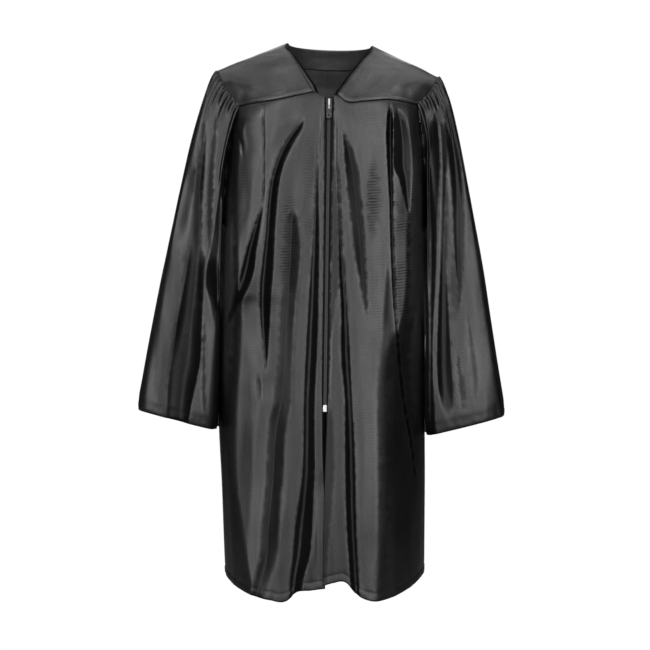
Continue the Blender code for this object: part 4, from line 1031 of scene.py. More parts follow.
def sleeve_grid(side, armhole):
    """Rows from the armhole to the hem, columns round the arm from the shoulder over the front."""
    count = len(armhole)
    turn = np.arange(count) / count
    table = SLEEVE_RIBS + ((1.0,) + SLEEVE_RIBS[0][1:],)
    leave = np.stack([smooth(turn, table, axis) for axis in (1, 2, 3)], -1) * (side, -1, 1)
    reach = np.stack([smooth(turn, table, axis) for axis in (4, 5, 6)], -1) * (side, -1, 1)
    oval = SLEEVE_HEM[side]
    out, ahead = (
        np.sign(way) * np.abs(way) ** (2 / SLEEVE_HEM_POWER)
        for way in (np.cos(2 * np.pi * turn), np.sin(2 * np.pi * turn))
    )
    hem = np.stack(
        [
            oval["x"] + side * oval["across"] * out,
            oval["y"] - oval["along"] * ahead,
            oval["height"] + oval["slope"] * oval["across"] * out,
        ],
        -1,
    )
    rows = []
    for row in range(SLEEVE_ROWS + 1):
        t = (row / SLEEVE_ROWS) ** SLEEVE_EASE
        rib = (1 - t) ** 3 * armhole + 3 * t * (1 - t) ** 2 * (armhole + leave)
        rows.append(rib + 3 * t**2 * (1 - t) * (hem + reach) + t**3 * hem)
    t = sleeve_shares()
    grid = clear_of_body(side, np.array(rows), t)
    middle = grid.mean(axis=1, keepdims=True)
    away = (grid - middle) * (1, 1, 0)
    away = away / np.linalg.norm(away, axis=-1, keepdims=True)
    outward = vertex_normals(grid, True) * -side
    shift = np.zeros(grid.shape[:2])
    for from_turn, to_turn, half, depth in SLEEVE_BACK_FOLDS[side]:
        offset = turn - (from_turn + (to_turn - from_turn) * t)
        shift += depth * bump(offset / half) * ease((t - SLEEVE_BACK_FOLDS_IN[0]) / SLEEVE_BACK_FOLDS_IN[1])
    grid = grid + away * shift[..., None]
    front = sleeve_front_lift(side, grid)
    grid[:, : front.shape[1], 1] -= front
    pucker = np.zeros(grid.shape[:2])
    for centre, half, high, long in GATHERS[side]:
        offset, wide = gather_offset(turn, centre, half, long, t)
        along = ease(t / GATHER_IN) * np.clip(1 - t / long, 0, 1) ** 1.1
        pucker += GATHER_GAIN * high * MM * crest(offset / wide) * along
    pucker -= GATHER_SINK * ease(t / GATHER_SINK_FROM) * np.clip(1 - t / GATHER_SINK_TO, 0, 1)
    turned = HEM_TURN_IN * np.clip(1 - (1 - t) / HEM_TURN_OVER, 0, 1) ** HEM_TURN_POWER
    grid = grid - away * turned[..., None]
    grid = grid + outward * pucker[..., None]
    return grid


def sleeve_painted_light_and_ribs(side, grid):
    """The painted light of a sleeve, and its ribs: painted shade in its hollows in front and between the
    gathers all round its head.
    """
    distance = grid[..., 0] * side - SLEEVE_SHIFT[side]
    painted_light, ribs = painted_light_and_ribs_of(distance, grid[..., 2], SLEEVE_BANDS[side], SLEEVE_PAINTED_LIGHT_PATCHES[side])
    turn = np.arange(grid.shape[1]) / grid.shape[1]
    t = sleeve_shares()
    in_front = ease((FRONT_TURN_END - turn) / FRONT_TURN_FADE)
    painted_light, ribs = 1 + (painted_light - 1) * in_front, ribs * in_front
    raised, near = np.zeros(painted_light.shape), np.zeros(painted_light.shape)
    for centre, half, _, long in GATHERS[side]:
        offset, wide = gather_offset(turn, centre, half, long, t)
        along = ease(t / GATHER_PAINTED_SHADE_IN) * ease((long - t) / (0.6 * long))
        raised += crest(offset / (0.8 * wide)) * along
        near = np.maximum(near, bump(offset / (2.2 * half)) * along)
    # Painted shade between the gathers
    return painted_light * (1 - GATHER_PAINTED_SHADE * near * ease((0.62 - raised) / 0.5)), ribs


def vertex_normals(grid, closed=False):
    """Unit normals at the points of a grid: the cross product of its way down and its way across."""
    if closed:
        across = np.roll(grid, -1, axis=1) - np.roll(grid, 1, axis=1)
    else:
        across = np.gradient(grid, axis=1)
    down = np.gradient(grid, axis=0)
    normal = np.cross(down, across)
    return normal / np.maximum(np.linalg.norm(normal, axis=-1, keepdims=True), 1e-12)


def pulled_back(grid, edges, by=PULL_BACK):
    """Moves the named edges of a grid into the panel, which opens the seam gap."""
    grid = grid.copy()
    for edge in edges:
        rows = grid if edge in ("top", "bottom") else grid.transpose(1, 0, 2)
        at, inside = (0, 1) if edge in ("top", "first") else (-1, -2)
        step = rows[inside] - rows[at]
        rows[at] += step / np.linalg.norm(step, axis=1, keepdims=True) * by
    return grid


def laid_out(grid):
    """The distances across and down at the points of a grid, as the cloth lies flat."""
    across = np.linalg.norm(np.diff(grid, axis=1), axis=-1)
    down = np.linalg.norm(np.diff(grid, axis=0), axis=-1)
    u = np.concatenate([np.zeros((len(grid), 1)), np.cumsum(across, axis=1)], axis=1)
    v = np.concatenate([np.zeros((1, grid.shape[1])), np.cumsum(down, axis=0)], axis=0)
    u = u - u.mean(axis=1, keepdims=True)
    return u, v


def face_outwards(bm):
    """Turns the faces of a closed shape outwards."""
    bmesh.ops.recalc_face_normals(bm, faces=bm.faces)
    if bm.calc_volume(signed=True) < 0:
        bmesh.ops.reverse_faces(bm, faces=bm.faces)


def new_piece(name, bm, material, body):
    """Puts a finished mesh in the scene as a piece that rides on a body."""
    mesh = bpy.data.meshes.new(name)
    for face in bm.faces:
        face.smooth = True
    bm.to_mesh(mesh)
    bm.free()
    mesh.materials.append(material)
    piece = bpy.data.objects.new(name, mesh)
    scene.collection.objects.link(piece)
    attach(piece, body)
    return piece


def cloth(name, grid, normals, material, wall=WALL, sink=0.0, closed=False, painted_light_and_ribs=None):
    """A wall of cloth: its outer side lies on the grid or sink below it, its inner side a wall further in."""
    painted_light, ribs = painted_light_and_ribs or (np.ones(grid.shape[:2]), np.zeros(grid.shape[:2]))
    outer = grid - normals * sink
    inner = outer - normals * wall
    if closed:
        outer, inner, painted_light, ribs = (
            np.concatenate([values, values[:, :1]], axis=1) for values in (outer, inner, painted_light, ribs)
        )
    rows, columns = outer.shape[:2]
    bm = bmesh.new()
    bmesh.ops.create_grid(bm, x_segments=columns - 1, y_segments=rows - 1, size=0.5)
    place = bm.verts.layers.int.new("place")
    flat_uv = bm.loops.layers.uv.new("cloth")
    # Each point carries its painted light, which paints the cloth's colour lighter or darker as painted light
    # and shade, and how strongly its ribs show
    painted_light_layer, ribbed, inside = (bm.verts.layers.float.new(kind) for kind in ("painted_light", "ribs", "inside"))
    for vert in bm.verts:
        column = round((vert.co.x + 0.5) * (columns - 1))
        row = round((0.5 - vert.co.y) * (rows - 1))
        vert[place] = row * columns + column
        vert.co = outer[row, column]
        vert[painted_light_layer], vert[ribbed] = painted_light[row, column], ribs[row, column]
    u, v = (values.ravel() for values in laid_out(outer))
    for face in bm.faces:
        for loop in face.loops:
            at = loop.vert[place]
            loop[flat_uv].uv = (u[at], v[at])
    if closed:
        bmesh.ops.remove_doubles(bm, verts=bm.verts, dist=1e-6)
    grown = bmesh.ops.extrude_face_region(bm, geom=bm.faces[:], use_keep_orig=True)
    flat = inner.reshape(-1, 3)
    for item in grown["geom"]:
        if isinstance(item, bmesh.types.BMVert):
            item.co = flat[item[place]]
            item[inside] = 1.0
    face_outwards(bm)
    return new_piece(name, bm, material, "gown")


def seam_distance(grid, edge):
    """How far each point of a grid lies from its top or bottom edge, along its column."""
    _, v = laid_out(grid)
    return v if edge == "top" else v[-1] - v


def rippled(grid, normals, size, high, seed):
    """Adds the slow unevenness of hanging cloth."""
    lift = uneven(grid, np.array(size), seed) * high
    lift = lift * ease(seam_distance(grid, "top") / RIPPLE_FADE)
    return grid + normals * lift[..., None]


def hemmed(grid, normals, seed):
    """Thickens and puckers the turned hem at the bottom of a grid."""
    up = seam_distance(grid, "bottom")
    u, _ = laid_out(grid)
    place = np.stack([u, up * 0.4, np.full(u.shape, float(seed))], -1)
    size = np.array((HEM_PUCKER_LONG, HEM_PUCKER_LONG, 1.0))
    centre, reach = HEM_PUCKER_AT
    pucker = uneven(place, size, seed) * HEM_PUCKER * bump((up - centre) / reach)
    ridge = HEM_RIDGE[0] * ease((HEM_DEEP - up) / HEM_RIDGE[1])
    groove = HEM_GROOVE[0] * bump((up - HEM_DEEP) / HEM_GROOVE[1])
    return grid + normals * (pucker + (ridge - groove))[..., None]


def lipped(grid, normals):
    """Rolls the lower edge of a yoke, where it is turned under and stitched over the gathers."""
    up = seam_distance(grid, "bottom")
    lip, groove = (high * bump((up - at) / half) for high, at, half in (YOKE_LIP, YOKE_GROOVE))
    return grid + normals * (lip - groove)[..., None]


def tucked(grid, normals):
    """Lets the top of a panel dip under the seam above it."""
    down = seam_distance(grid, "top")
    return grid - normals * (TUCK_SINK * (1 - ease(down / TUCK_REACH)))[..., None]


def body_panels():
    """Every panel of the shell: its grid and its normals."""
    grids = {"front_left": front_grid(LEFT), "front_right": front_grid(RIGHT), "back": back_grid()}
    for side, name in SIDE_NAMES:
        grids["yoke_front_" + name] = front_yoke_grid(side, grids["front_" + name][0, V_COLUMNS[side] :])
    grids["yoke_back"] = back_yoke_grid(grids["back"][0])
    for side, name in SIDE_NAMES:
        back_column = 0 if side == LEFT else -1
        loop = (
            list(grids["yoke_front_" + name][:, -1])
            + list(grids["front_" + name][2 : 2 * ARMHOLE_ROWS + 1 : 2, -1])
            + list(grids["back"][:ARMHOLE_ROWS, back_column][::-1])
            + list(grids["yoke_back"][1:-1, back_column][::-1])
        )
        grids["sleeve_" + name] = sleeve_grid(side, np.array(loop))
    panels = {}
    for number, (name, grid) in enumerate(grids.items()):
        tube = name.startswith("sleeve")
        normals = vertex_normals(grid, tube) * OUTWARD[name]
        if name.startswith("yoke"):
            grid = lipped(grid, normals)
            grid = grid + normals * yoke_creases(grid)[..., None]
        else:
            if not tube:
                grid = tucked(grid, normals)
            for size, high, seed in RIPPLES:
                grid = rippled(grid, normals, size, high, seed + number)
            grid = hemmed(grid, normals, HEM_SEED + number)
        normals = vertex_normals(grid, tube) * OUTWARD[name]
        panels[name] = {"grid": grid, "normals": normals, "painted_light_and_ribs": panel_painted_light_and_ribs(name, grid)}
    return panels


def panel_painted_light_and_ribs(name, grid):
    """The painted light and shade over a panel of the shell, and how strongly its ribs show."""
    side = LEFT if name.endswith("left") else RIGHT
    if name.startswith("sleeve"):
        return sleeve_painted_light_and_ribs(side, grid)
    if name == "back":
        halves = [
            painted_light_and_ribs_of(np.abs(grid[..., 0]), grid[..., 2], BACK_BANDS[side], BACK_PAINTED_LIGHT_PATCHES[side])
            for side in (LEFT, RIGHT)
        ]
        painted_light, ribs = (np.where(grid[..., 0] < 0, left, right) for left, right in zip(*halves))
    else:
        bands, patches = (), ()
        if name.startswith("front"):
            bands, patches = FRONT_BANDS[side] + FRONT_PAINTED_SHADES[side], FRONT_PAINTED_LIGHT_PATCHES[side]
        elif name.startswith("yoke_front"):
            patches = YOKE_PAINTED_LIGHT_PATCHES[side]
        painted_light, ribs = painted_light_and_ribs_of(np.abs(grid[..., 0]), grid[..., 2], bands, patches)
    # Painted shade on the top edge hidden under the yoke; painted shade along the yokes' V edges and a
    # painted highlight on their lips
    if not name.startswith("yoke"):
        painted_light[0] *= SEAM_PAINTED_SHADE
    else:
        across, _ = laid_out(grid)
        up = seam_distance(grid, "bottom")
        if name.startswith("yoke_front"):
            wide, soft = V_EDGE_PAINTED_SHADE_WIDE
            painted_light = painted_light * (1 - V_EDGE_PAINTED_SHADE * ease((wide - across + across[:, :1]) / soft))
        painted_light = painted_light * (1 + LIP_PAINTED_HIGHLIGHT * bump((up - LIP_PAINTED_HIGHLIGHT_AT[0]) / LIP_PAINTED_HIGHLIGHT_AT[1]))
    return painted_light, ribs


def yoke_creases(grid):
    """Faint drag lines of the smooth yokes."""
    lift = sum(uneven(grid, np.array(size), seed) * high for size, high, seed in YOKE_CREASES)
    top, bottom = (ease(seam_distance(grid, edge) / YOKE_CREASE_FADE) for edge in ("top", "bottom"))
    return lift * (top * bottom)


def add(tree, kind, **settings):
    """Adds a node to a material or a group, with its settings and, by socket name, its inputs."""
    made = tree.nodes.new(kind)
    for name, value in settings.items():
        if hasattr(made, name):
            setattr(made, name, value)
        else:
            made.inputs[name.replace("_", " ")].default_value = value
    return made


def math_node(tree, operation, first, second, clamp=False):
    """A node that works out one step between two sockets or numbers."""
    made = tree.nodes.new("ShaderNodeMath")
    made.operation = operation
    made.use_clamp = clamp
    for number, value in enumerate((first, second)):
        if isinstance(value, (int, float)):
            made.inputs[number].default_value = value
        else:
            tree.links.new(value, made.inputs[number])
    return made.outputs[0]


def plus(tree, first, second):
    """The sum of two sockets or numbers."""
    return math_node(tree, "ADD", first, second)


def times(tree, first, second, clamp=False):
    """The product of two sockets or numbers."""
    return math_node(tree, "MULTIPLY", first, second, clamp)


def new_group(name, inputs, outputs):
    """A node group with named sockets and its two end nodes."""
    group = bpy.data.node_groups.new(name, "ShaderNodeTree")
    for socket, kind, value in inputs:
        made = group.interface.new_socket(socket, in_out="INPUT", socket_type=kind)
        if value is not None:
            made.default_value = value
    for socket, kind in outputs:
        group.interface.new_socket(socket, in_out="OUTPUT", socket_type=kind)
    return group, group.nodes.new("NodeGroupInput"), group.nodes.new("NodeGroupOutput")


def stretched(tree, vector, scale):
    """A vector multiplied by a fixed scale on each axis."""
    made = tree.nodes.new("ShaderNodeVectorMath")
    made.operation = "MULTIPLY"
    tree.links.new(vector, made.inputs[0])
    made.inputs[1].default_value = scale
    return made.outputs[0]


def noise_of(tree, vector, scale, detail=2.0, rough=0.5):
    """Noise at a place."""
    made = add(tree, "ShaderNodeTexNoise", Scale=scale, Detail=detail, Roughness=rough)
    tree.links.new(vector, made.inputs["Vector"])
    return made.outputs["Fac"]


def satin_weave_group():
    """Weave, cross ribs and patchy sheen of satin, on the flat cloth's coordinates in metres; the ribs are
    painted darker, as painted shade.
    """
    group, start, end = new_group(
        "satin_weave",
        [("Flat", "NodeSocketVector", None), ("Ribs", "NodeSocketFloat", 1.0)],
        [("Height", "NodeSocketFloat"), ("Tone", "NodeSocketFloat"), ("Dull", "NodeSocketFloat")],
    )
    flat = start.outputs["Flat"]
    ribs = add(group, "ShaderNodeTexWave", bands_direction="Y", Scale=92.0, Distortion=3.0, Detail=2.0)
    ribs.inputs["Detail Scale"].default_value = 1.6
    group.links.new(stretched(group, flat, (0.45, 1.0, 1.0)), ribs.inputs["Vector"])
    patch = noise_of(group, stretched(group, flat, (1.6, 0.9, 1.0)), 34.0, 2.0)
    patch = times(group, math_node(group, "SUBTRACT", patch, 0.30), 2.8, True)
    patch = times(group, patch, start.outputs["Ribs"])
    ribbed = times(group, ribs.outputs["Fac"], patch)
    grain = noise_of(group, stretched(group, flat, (1.0, 0.7, 1.0)), 780.0, 3.0, 0.65)
    fine = noise_of(group, stretched(group, flat, (1.0, 0.25, 1.0)), 260.0, 2.0)
    weave = plus(group, grain, times(group, fine, 0.8))
    height = plus(group, ribbed, times(group, weave, 0.75))
    group.links.new(height, end.inputs["Height"])
    slow = noise_of(group, stretched(group, flat, (1.0, 0.35, 1.0)), 40.0, 3.0)
    streak = noise_of(group, stretched(group, flat, (1.0, 0.07, 1.0)), 150.0, 2.0)
    tone = times(group, slow, 0.50)
    for part, share in ((grain, 0.95), (streak, 0.34), (fine, 0.20)):
        tone = plus(group, tone, times(group, part, share))
    # Painted shade: the ribs darken the tone
    shade = math_node(group, "SUBTRACT", 1.0, times(group, ribbed, 0.90))
    tone = times(group, tone, shade)
    group.links.new(tone, end.inputs["Tone"])
    dull = times(group, slow, 0.10)
    dull = plus(group, dull, times(group, grain, 0.08))
    group.links.new(dull, end.inputs["Dull"])
    return group


def blank_material(name):
    """A new material, its tree and its shader."""
    material = bpy.data.materials.new(name)
    material.use_nodes = True
    return material, material.node_tree, material.node_tree.nodes["Principled BSDF"]


def relieve(tree, shader, height, strength, distance):
    """Raises the grain of a surface."""
    relief = add(tree, "ShaderNodeBump", Strength=strength, Distance=distance)
    tree.links.new(height, relief.inputs["Height"])
    tree.links.new(relief.outputs["Normal"], shader.inputs["Normal"])


def between_colours(tree, shader, factor, first, second):
    """Colours a surface by a factor from one colour to another."""
    tint = add(tree, "ShaderNodeMix", data_type="RGBA")
    tint.inputs["A"].default_value = (*first, 1.0)
    tint.inputs["B"].default_value = (*second, 1.0)
    tree.links.new(factor, tint.inputs["Factor"])
    tree.links.new(tint.outputs["Result"], shader.inputs["Base Color"])


def satin_material(name, group, colour, rough, metallic=0.8, specular=0.5):
    """Glossy woven satin: its colour carries each point's painted light and shade, and it is dull and paler
    on its wrong side.
    """
    material, tree, shader = blank_material(name)
    flat = add(tree, "ShaderNodeUVMap", uv_map="cloth")
    painted_light, ribs, inside = (
        add(tree, "ShaderNodeAttribute", attribute_name=kind).outputs["Fac"]
        for kind in ("painted_light", "ribs", "inside")
    )
    weave = add(tree, "ShaderNodeGroup", node_tree=group)
    tree.links.new(flat.outputs["UV"], weave.inputs["Flat"])
    tree.links.new(plus(tree, ribs, RIBS_EVERYWHERE), weave.inputs["Ribs"])
    tint = add(tree, "ShaderNodeMix", data_type="RGBA", blend_type="MULTIPLY")
    tint.inputs["Factor"].default_value = 1.0
    tint.inputs["A"].default_value = (*colour, 1.0)
    # Painted light and shade: the colour is multiplied by each point's painted light
    tone = times(tree, weave.outputs["Tone"], painted_light)
    paler = plus(tree, 1.0, times(tree, inside, WRONG_SIDE_PALER))
    tree.links.new(times(tree, tone, paler), tint.inputs["B"])
    tree.links.new(tint.outputs["Result"], shader.inputs["Base Color"])
    dull = plus(tree, weave.outputs["Dull"], times(tree, inside, WRONG_SIDE_DULLER))
    tree.links.new(plus(tree, dull, rough - MEAN_DULL), shader.inputs["Roughness"])
    relieve(tree, shader, weave.outputs["Height"], 0.55, BUMP_DEPTH)
    shader.inputs["Metallic"].default_value = metallic
    shader.inputs["Specular IOR Level"].default_value = specular
    return material


def webbing_material():
    """Dull herringbone tape of the zip."""
    material, tree, shader = blank_material("zip_webbing_weave")
    place = add(tree, "ShaderNodeTexCoord").outputs["Object"]
    wave = add(tree, "ShaderNodeTexWave", bands_direction="Z", Scale=420.0, Distortion=1.5, Detail=1.0)
    tree.links.new(stretched(tree, place, (2.0, 1.0, 1.0)), wave.inputs["Vector"])
    grain = noise_of(tree, place, 1500.0, 2.0)
    woven = times(tree, wave.outputs["Fac"], grain)
    between_colours(tree, shader, woven, (0.006, 0.006, 0.0062), (0.022, 0.022, 0.023))
    dull = plus(tree, times(tree, grain, 0.2), 0.62)
    tree.links.new(dull, shader.inputs["Roughness"])
    relieve(tree, shader, plus(tree, wave.outputs["Fac"], grain), 0.6, 0.0002)
    shader.inputs["Specular IOR Level"].default_value = 0.10
    return material


def metal_wear_group():
    """Brushed scratches and rubbed patches of small zip metal, on object coordinates."""
    group, start, end = new_group(
        "zip_metal_wear", [("Place", "NodeSocketVector", None)],
        [("Rub", "NodeSocketFloat"), ("Height", "NodeSocketFloat")],
    )
    place = start.outputs["Place"]
    rub = noise_of(group, place, 420.0, 4.0, 0.6)
    brush = noise_of(group, stretched(group, place, (1.0, 1.0, 0.12)), 5200.0, 2.0)
    worn = times(group, math_node(group, "SUBTRACT", rub, 0.35), 2.4, True)
    group.links.new(worn, end.inputs["Rub"])
    group.links.new(plus(group, brush, rub), end.inputs["Height"])
    return group


def metal_material(name, group, dark, light, rough, depth=METAL_BUMP_DEPTH, painted_highlight_half_width=None, metallic=1.0):
    """Worn zip metal or nylon; where a half-width is given, a pale strip down its middle is a painted
    highlight.
    """
    material, tree, shader = blank_material(name)
    place = add(tree, "ShaderNodeTexCoord").outputs["Object"]
    wear = add(tree, "ShaderNodeGroup", node_tree=group)
    tree.links.new(place, wear.inputs["Place"])
    wear_and_painted_highlight = wear.outputs["Rub"]
    # A painted highlight: a pale strip down the middle
    if painted_highlight_half_width:
        split = add(tree, "ShaderNodeSeparateXYZ")
        tree.links.new(place, split.inputs["Vector"])
        aside = math_node(tree, "ABSOLUTE", split.outputs["X"], 0.0)
        painted_highlight_strip = math_node(tree, "LESS_THAN", aside, painted_highlight_half_width)
        wear_and_painted_highlight = plus(tree, times(tree, wear_and_painted_highlight, 0.3), 0.7)
        wear_and_painted_highlight = times(tree, wear_and_painted_highlight, painted_highlight_strip)
    between_colours(tree, shader, wear_and_painted_highlight, dark, light)
    spread = times(tree, wear.outputs["Rub"], rough[1] - rough[0])
    tree.links.new(plus(tree, spread, rough[0]), shader.inputs["Roughness"])
    relieve(tree, shader, wear.outputs["Height"], 0.35, depth)
    shader.inputs["Metallic"].default_value = metallic
    return material


def thread_material():
    """Twisted black thread."""
    material, tree, shader = blank_material("black_thread")
    place = add(tree, "ShaderNodeTexCoord").outputs["Object"]
    twist = add(tree, "ShaderNodeTexWave", bands_direction="DIAGONAL", Scale=900.0, Distortion=0.6)
    tree.links.new(place, twist.inputs["Vector"])
    twisted = twist.outputs["Fac"]
    between_colours(tree, shader, twisted, (0.008, 0.008, 0.008), (0.034, 0.034, 0.035))
    relieve(tree, shader, twisted, 0.5, 0.0001)
    shader.inputs["Roughness"].default_value = 0.5
    return material


def slipped_under(grid, normals):
    """Slips the back's side edges under the fronts below the armholes, so that no light shows through."""
    grid = grid.copy()
    seam = slice(ARMHOLE_ROWS + 1, None)
    for at, inside in ((0, 1), (-1, -2)):
        step = grid[seam, at] - grid[seam, inside]
        step = step / np.linalg.norm(step, axis=1, keepdims=True)
        grid[seam, at] += step * SIDE_LAP - normals[seam, at] * SIDE_SINK
    return grid


def declare(name):
    """Hides the solid that a sheet replaces."""
    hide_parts(name)


def build_shell(panels, satin):
    """The eight panels of the shell, each in place of its solid."""
    for name, panel in panels.items():
        tube = name.startswith("sleeve")
        grid = pulled_back(panel["grid"], SEAM_EDGES[name])
        if name.startswith("yoke"):
            grid = pulled_back(grid, ("bottom",), -YOKE_LAP)
        if name == "back":
            grid = slipped_under(grid, panel["normals"])
        piece = cloth(
            name + "_satin", grid, panel["normals"], satin, closed=tube, painted_light_and_ribs=panel["painted_light_and_ribs"]
        )
        declare(name)


def build_facings(panels, satin, painted_shade_satin):
    """The strips turned inside the neck, behind the yokes. The front ones peek out of the V."""
    for side, name in SIDE_NAMES:
        panel = panels["yoke_front_" + name]
        grid, normals = (panel[key][:, : FACING_COLUMNS + 1] for key in ("grid", "normals"))
        outward = (grid[:, 0] - grid[:, 1]) * FACING_PEEK_WAY
        outward = outward / np.linalg.norm(outward, axis=1, keepdims=True)
        peek = smooth(np.linspace(0, 1, YOKE_ROWS + 1), FACING_PEEK[side])[:, None]
        edge = [
            grid[:, 0] + outward * np.maximum(peek - back, 0.1 * peek)
            for back in (0.0, FACING_EDGE_WIDE, FACING_EDGE_WIDE + FACING_EDGE_STEP)
        ]
        grid = np.concatenate([np.stack(edge, axis=1), grid[:, 1:]], axis=1)
        normals = np.concatenate([normals[:, :1]] * 2 + [normals], axis=1)
        # Painted shade: the strips' low painted light, lowest on their peeking edges
        painted_light = np.full(grid.shape[:2], FACING_PAINTED_LIGHT[side])
        painted_light[:, :2] = FACING_EDGE_PAINTED_LIGHT
        grid = pulled_back(grid, ("top", "bottom"))
        whole = "neck_facing_" + name
        piece = cloth(
            whole + "_satin", grid, normals, painted_shade_satin, wall=FACING_WALL, sink=CAD_WALL + SEAM_GAP,
            painted_light_and_ribs=(painted_light, 0 * painted_light),
        )
        declare(whole)
    first = SHOULDER_COLUMNS - FACING_BACK_REACH
    last = 2 * BACK_HALF_COLUMNS - SHOULDER_COLUMNS + FACING_BACK_REACH
    panel = panels["yoke_back"]
    grid, normals = (panel[key][: FACING_BACK_ROWS + 1, first : last + 1] for key in ("grid", "normals"))
    piece = cloth(
        "neck_facing_back_satin", pulled_back(grid, ("top",)), normals, satin,
        wall=BACK_FACING_WALL, sink=WALL + BACK_FACING_GAP,
    )
    declare("neck_facing_back")


def build_tapes(panels, webbing):
    """Zip tapes behind the two front edges."""
    rows = 2 * ARMHOLE_ROWS + TAPE_SKIRT_ROWS + 1
    for side, name in SIDE_NAMES:
        panel = panels["front_" + name]
        grid, normals = (panel[key][:rows, : TAPE_COLUMNS[side]] for key in ("grid", "normals"))
        free = grid[:, 0].copy()
        free[:, 0] = side * TAPE_INNER
        grid = np.concatenate([free[:, None], grid], axis=1)
        normals = np.concatenate([normals[:, :1], normals], axis=1)
        grid[0, 0, 2] = grid[0, 1, 2]
        whole = "zip_tape_" + name
        piece = cloth(
            whole + "_webbing", grid, normals, webbing, wall=TAPE_WALL, sink=TAPE_SINK
        )
        declare(whole)


def copies(bm, pattern, matrices):
    """Adds a copy of a small mesh to a bmesh at each matrix."""
    for matrix in matrices:
        pattern.transform(matrix)
        bm.from_mesh(pattern)
        pattern.transform(matrix.inverted())


def pattern_of(name, bm):
    """A mesh of one small part, to be copied."""
    mesh = bpy.data.meshes.new(name)
    bm.to_mesh(mesh)
    bm.free()
    return mesh


def thread_pattern():
    """One stitch: a short rounded length of thread along X."""
    bm = bmesh.new()
    bmesh.ops.create_icosphere(bm, subdivisions=1, radius=STITCH_RADIUS)
    for vert in bm.verts:
        vert.co.x = vert.co.x / STITCH_RADIUS * STITCH_LENGTH / 2
    return pattern_of("stitch_pattern", bm)


def read_at(steps, along, values):
    """Reads each axis of the values at steps between the numbers in along."""
    return np.stack([np.interp(steps, along, values[:, axis]) for axis in range(3)], -1)


def stations(points, normals, proud=STITCH_PROUD):
    """Matrices at even steps along a line just off the cloth: X along the line, Z out of the cloth."""
    points = points + normals * proud
    lengths = lengths_along(points)
    steps = np.arange(STITCH_PITCH / 2, lengths[-1] - STITCH_PITCH / 2, STITCH_PITCH)
    places, ahead = (read_at(at, lengths, points) for at in (steps, steps + STITCH_PITCH * 0.3))
    outs = read_at(steps, lengths, normals)
    found = []
    for place, far, out in zip(places, ahead, outs):
        along = Vector(far - place).normalized()
        up = Vector(out).normalized()
        across = up.cross(along).normalized()
        up = along.cross(across)
        turn = Matrix((along, across, up)).transposed().to_4x4()
        found.append(Matrix.Translation(Vector(place)) @ turn)
    return found


def at_distance(panel, distance, rows):
    """The line down a front at a distance from the middle: its points and normals."""
    places = np.abs(panel["grid"][rows, :, 0])
    return tuple(
        np.array([read_at(distance, place, values) for place, values in zip(places, panel[key][rows])])
        for key in ("grid", "normals")
    )


def build_stitches(panels, thread):
    """Lines of stitches round the hem, the cuffs, beside the zip and along the yoke's lower edge."""
    pattern = thread_pattern()
    bm = bmesh.new()
    zip_rows = slice(2, 2 * ARMHOLE_ROWS + ZIP_STITCH_SKIRT_ROWS)
    for name in ("front_left", "front_right", "back", "sleeve_left", "sleeve_right"):
        line, normal = (panels[name][key][-HEM_STITCH_ROW] for key in ("grid", "normals"))
        if name.startswith("sleeve"):
            line, normal = np.concatenate([line, line[:1]]), np.concatenate([normal, normal[:1]])
        copies(bm, pattern, stations(line, normal))
    for _, name in SIDE_NAMES:
        line, normal = at_distance(panels["front_" + name], ZIP_STITCH_OUT, zip_rows)
        copies(bm, pattern, stations(line, normal, ZIP_STITCH_PROUD))
    for name in ("yoke_front_left", "yoke_front_right", "yoke_back"):
        line, normal = (panels[name][key][-YOKE_STITCH_ROW] for key in ("grid", "normals"))
        copies(bm, pattern, stations(line, normal))
    bpy.data.meshes.remove(pattern)
    new_piece("seam_stitches", bm, thread, "gown")


def zip_matrix(height):
    """A frame on the front's middle line: +X across, +Y along the zip upwards, +Z out of the cloth."""
    depth = float(smooth(height, BODY_RINGS, 3))
    lower = float(smooth(height - SLOPE_STEP, BODY_RINGS, 3))
    slope = math.atan2(lower - depth, SLOPE_STEP)
    up = Vector((0.0, math.sin(slope), math.cos(slope)))
    out = Vector((0.0, -math.cos(slope), math.sin(slope)))
    turn = Matrix((Vector((1, 0, 0)), up, out)).transposed()
    return Matrix.Translation((0.0, -depth, height)) @ turn.to_4x4()


def build_coil(coil):
    """The closed coil: two rows of hooked turns that mesh, on their cord."""
    bm = bmesh.new()
    bmesh.ops.create_cube(bm, size=1.0)
    bmesh.ops.scale(bm, vec=COIL_TURN_SIZE, verts=bm.verts)
    bmesh.ops.bevel(
        bm, geom=bm.edges[:], offset=COIL_TURN_ROUND, segments=1, profile=0.5, affect="EDGES", material=-1
    )
    pattern = pattern_of("coil_turn", bm)
    bm = bmesh.new()
    out, along, deep = COIL_TURN_PLACE
    matrices = []
    for number in range(int((COIL_TOP - ZIP_STOP_TOP) / COIL_PITCH)):
        side = LEFT if number % 2 else RIGHT
        height = COIL_TOP - COIL_FIRST_TURN - number * COIL_PITCH
        lean = Matrix.Rotation(math.radians(COIL_LEAN * side), 4, "Z")
        matrices.append(zip_matrix(height) @ Matrix.Translation((side * out, along, deep)) @ lean)
    copies(bm, pattern, matrices)
    bpy.data.meshes.remove(pattern)
    heights = np.linspace(COIL_TOP, ZIP_STOP_TOP + SEAM_GAP, COIL_CORD_STEPS)
    made = bmesh.ops.create_grid(bm, x_segments=4, y_segments=COIL_CORD_STEPS - 1, size=0.5)
    for vert in made["verts"]:
        row = round((0.5 - vert.co.y) * (COIL_CORD_STEPS - 1))
        x = vert.co.x * 2 * COIL_HALF_WIDTH
        crown = COIL_CORD_CROWN * math.cos(x / COIL_HALF_WIDTH)
        vert.co = zip_matrix(float(heights[row])) @ Vector((x, 0, crown - COIL_CORD_DEEP))
    piece = new_piece("zip_coil_turns", bm, coil, "gown")
    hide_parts("zip_coil")


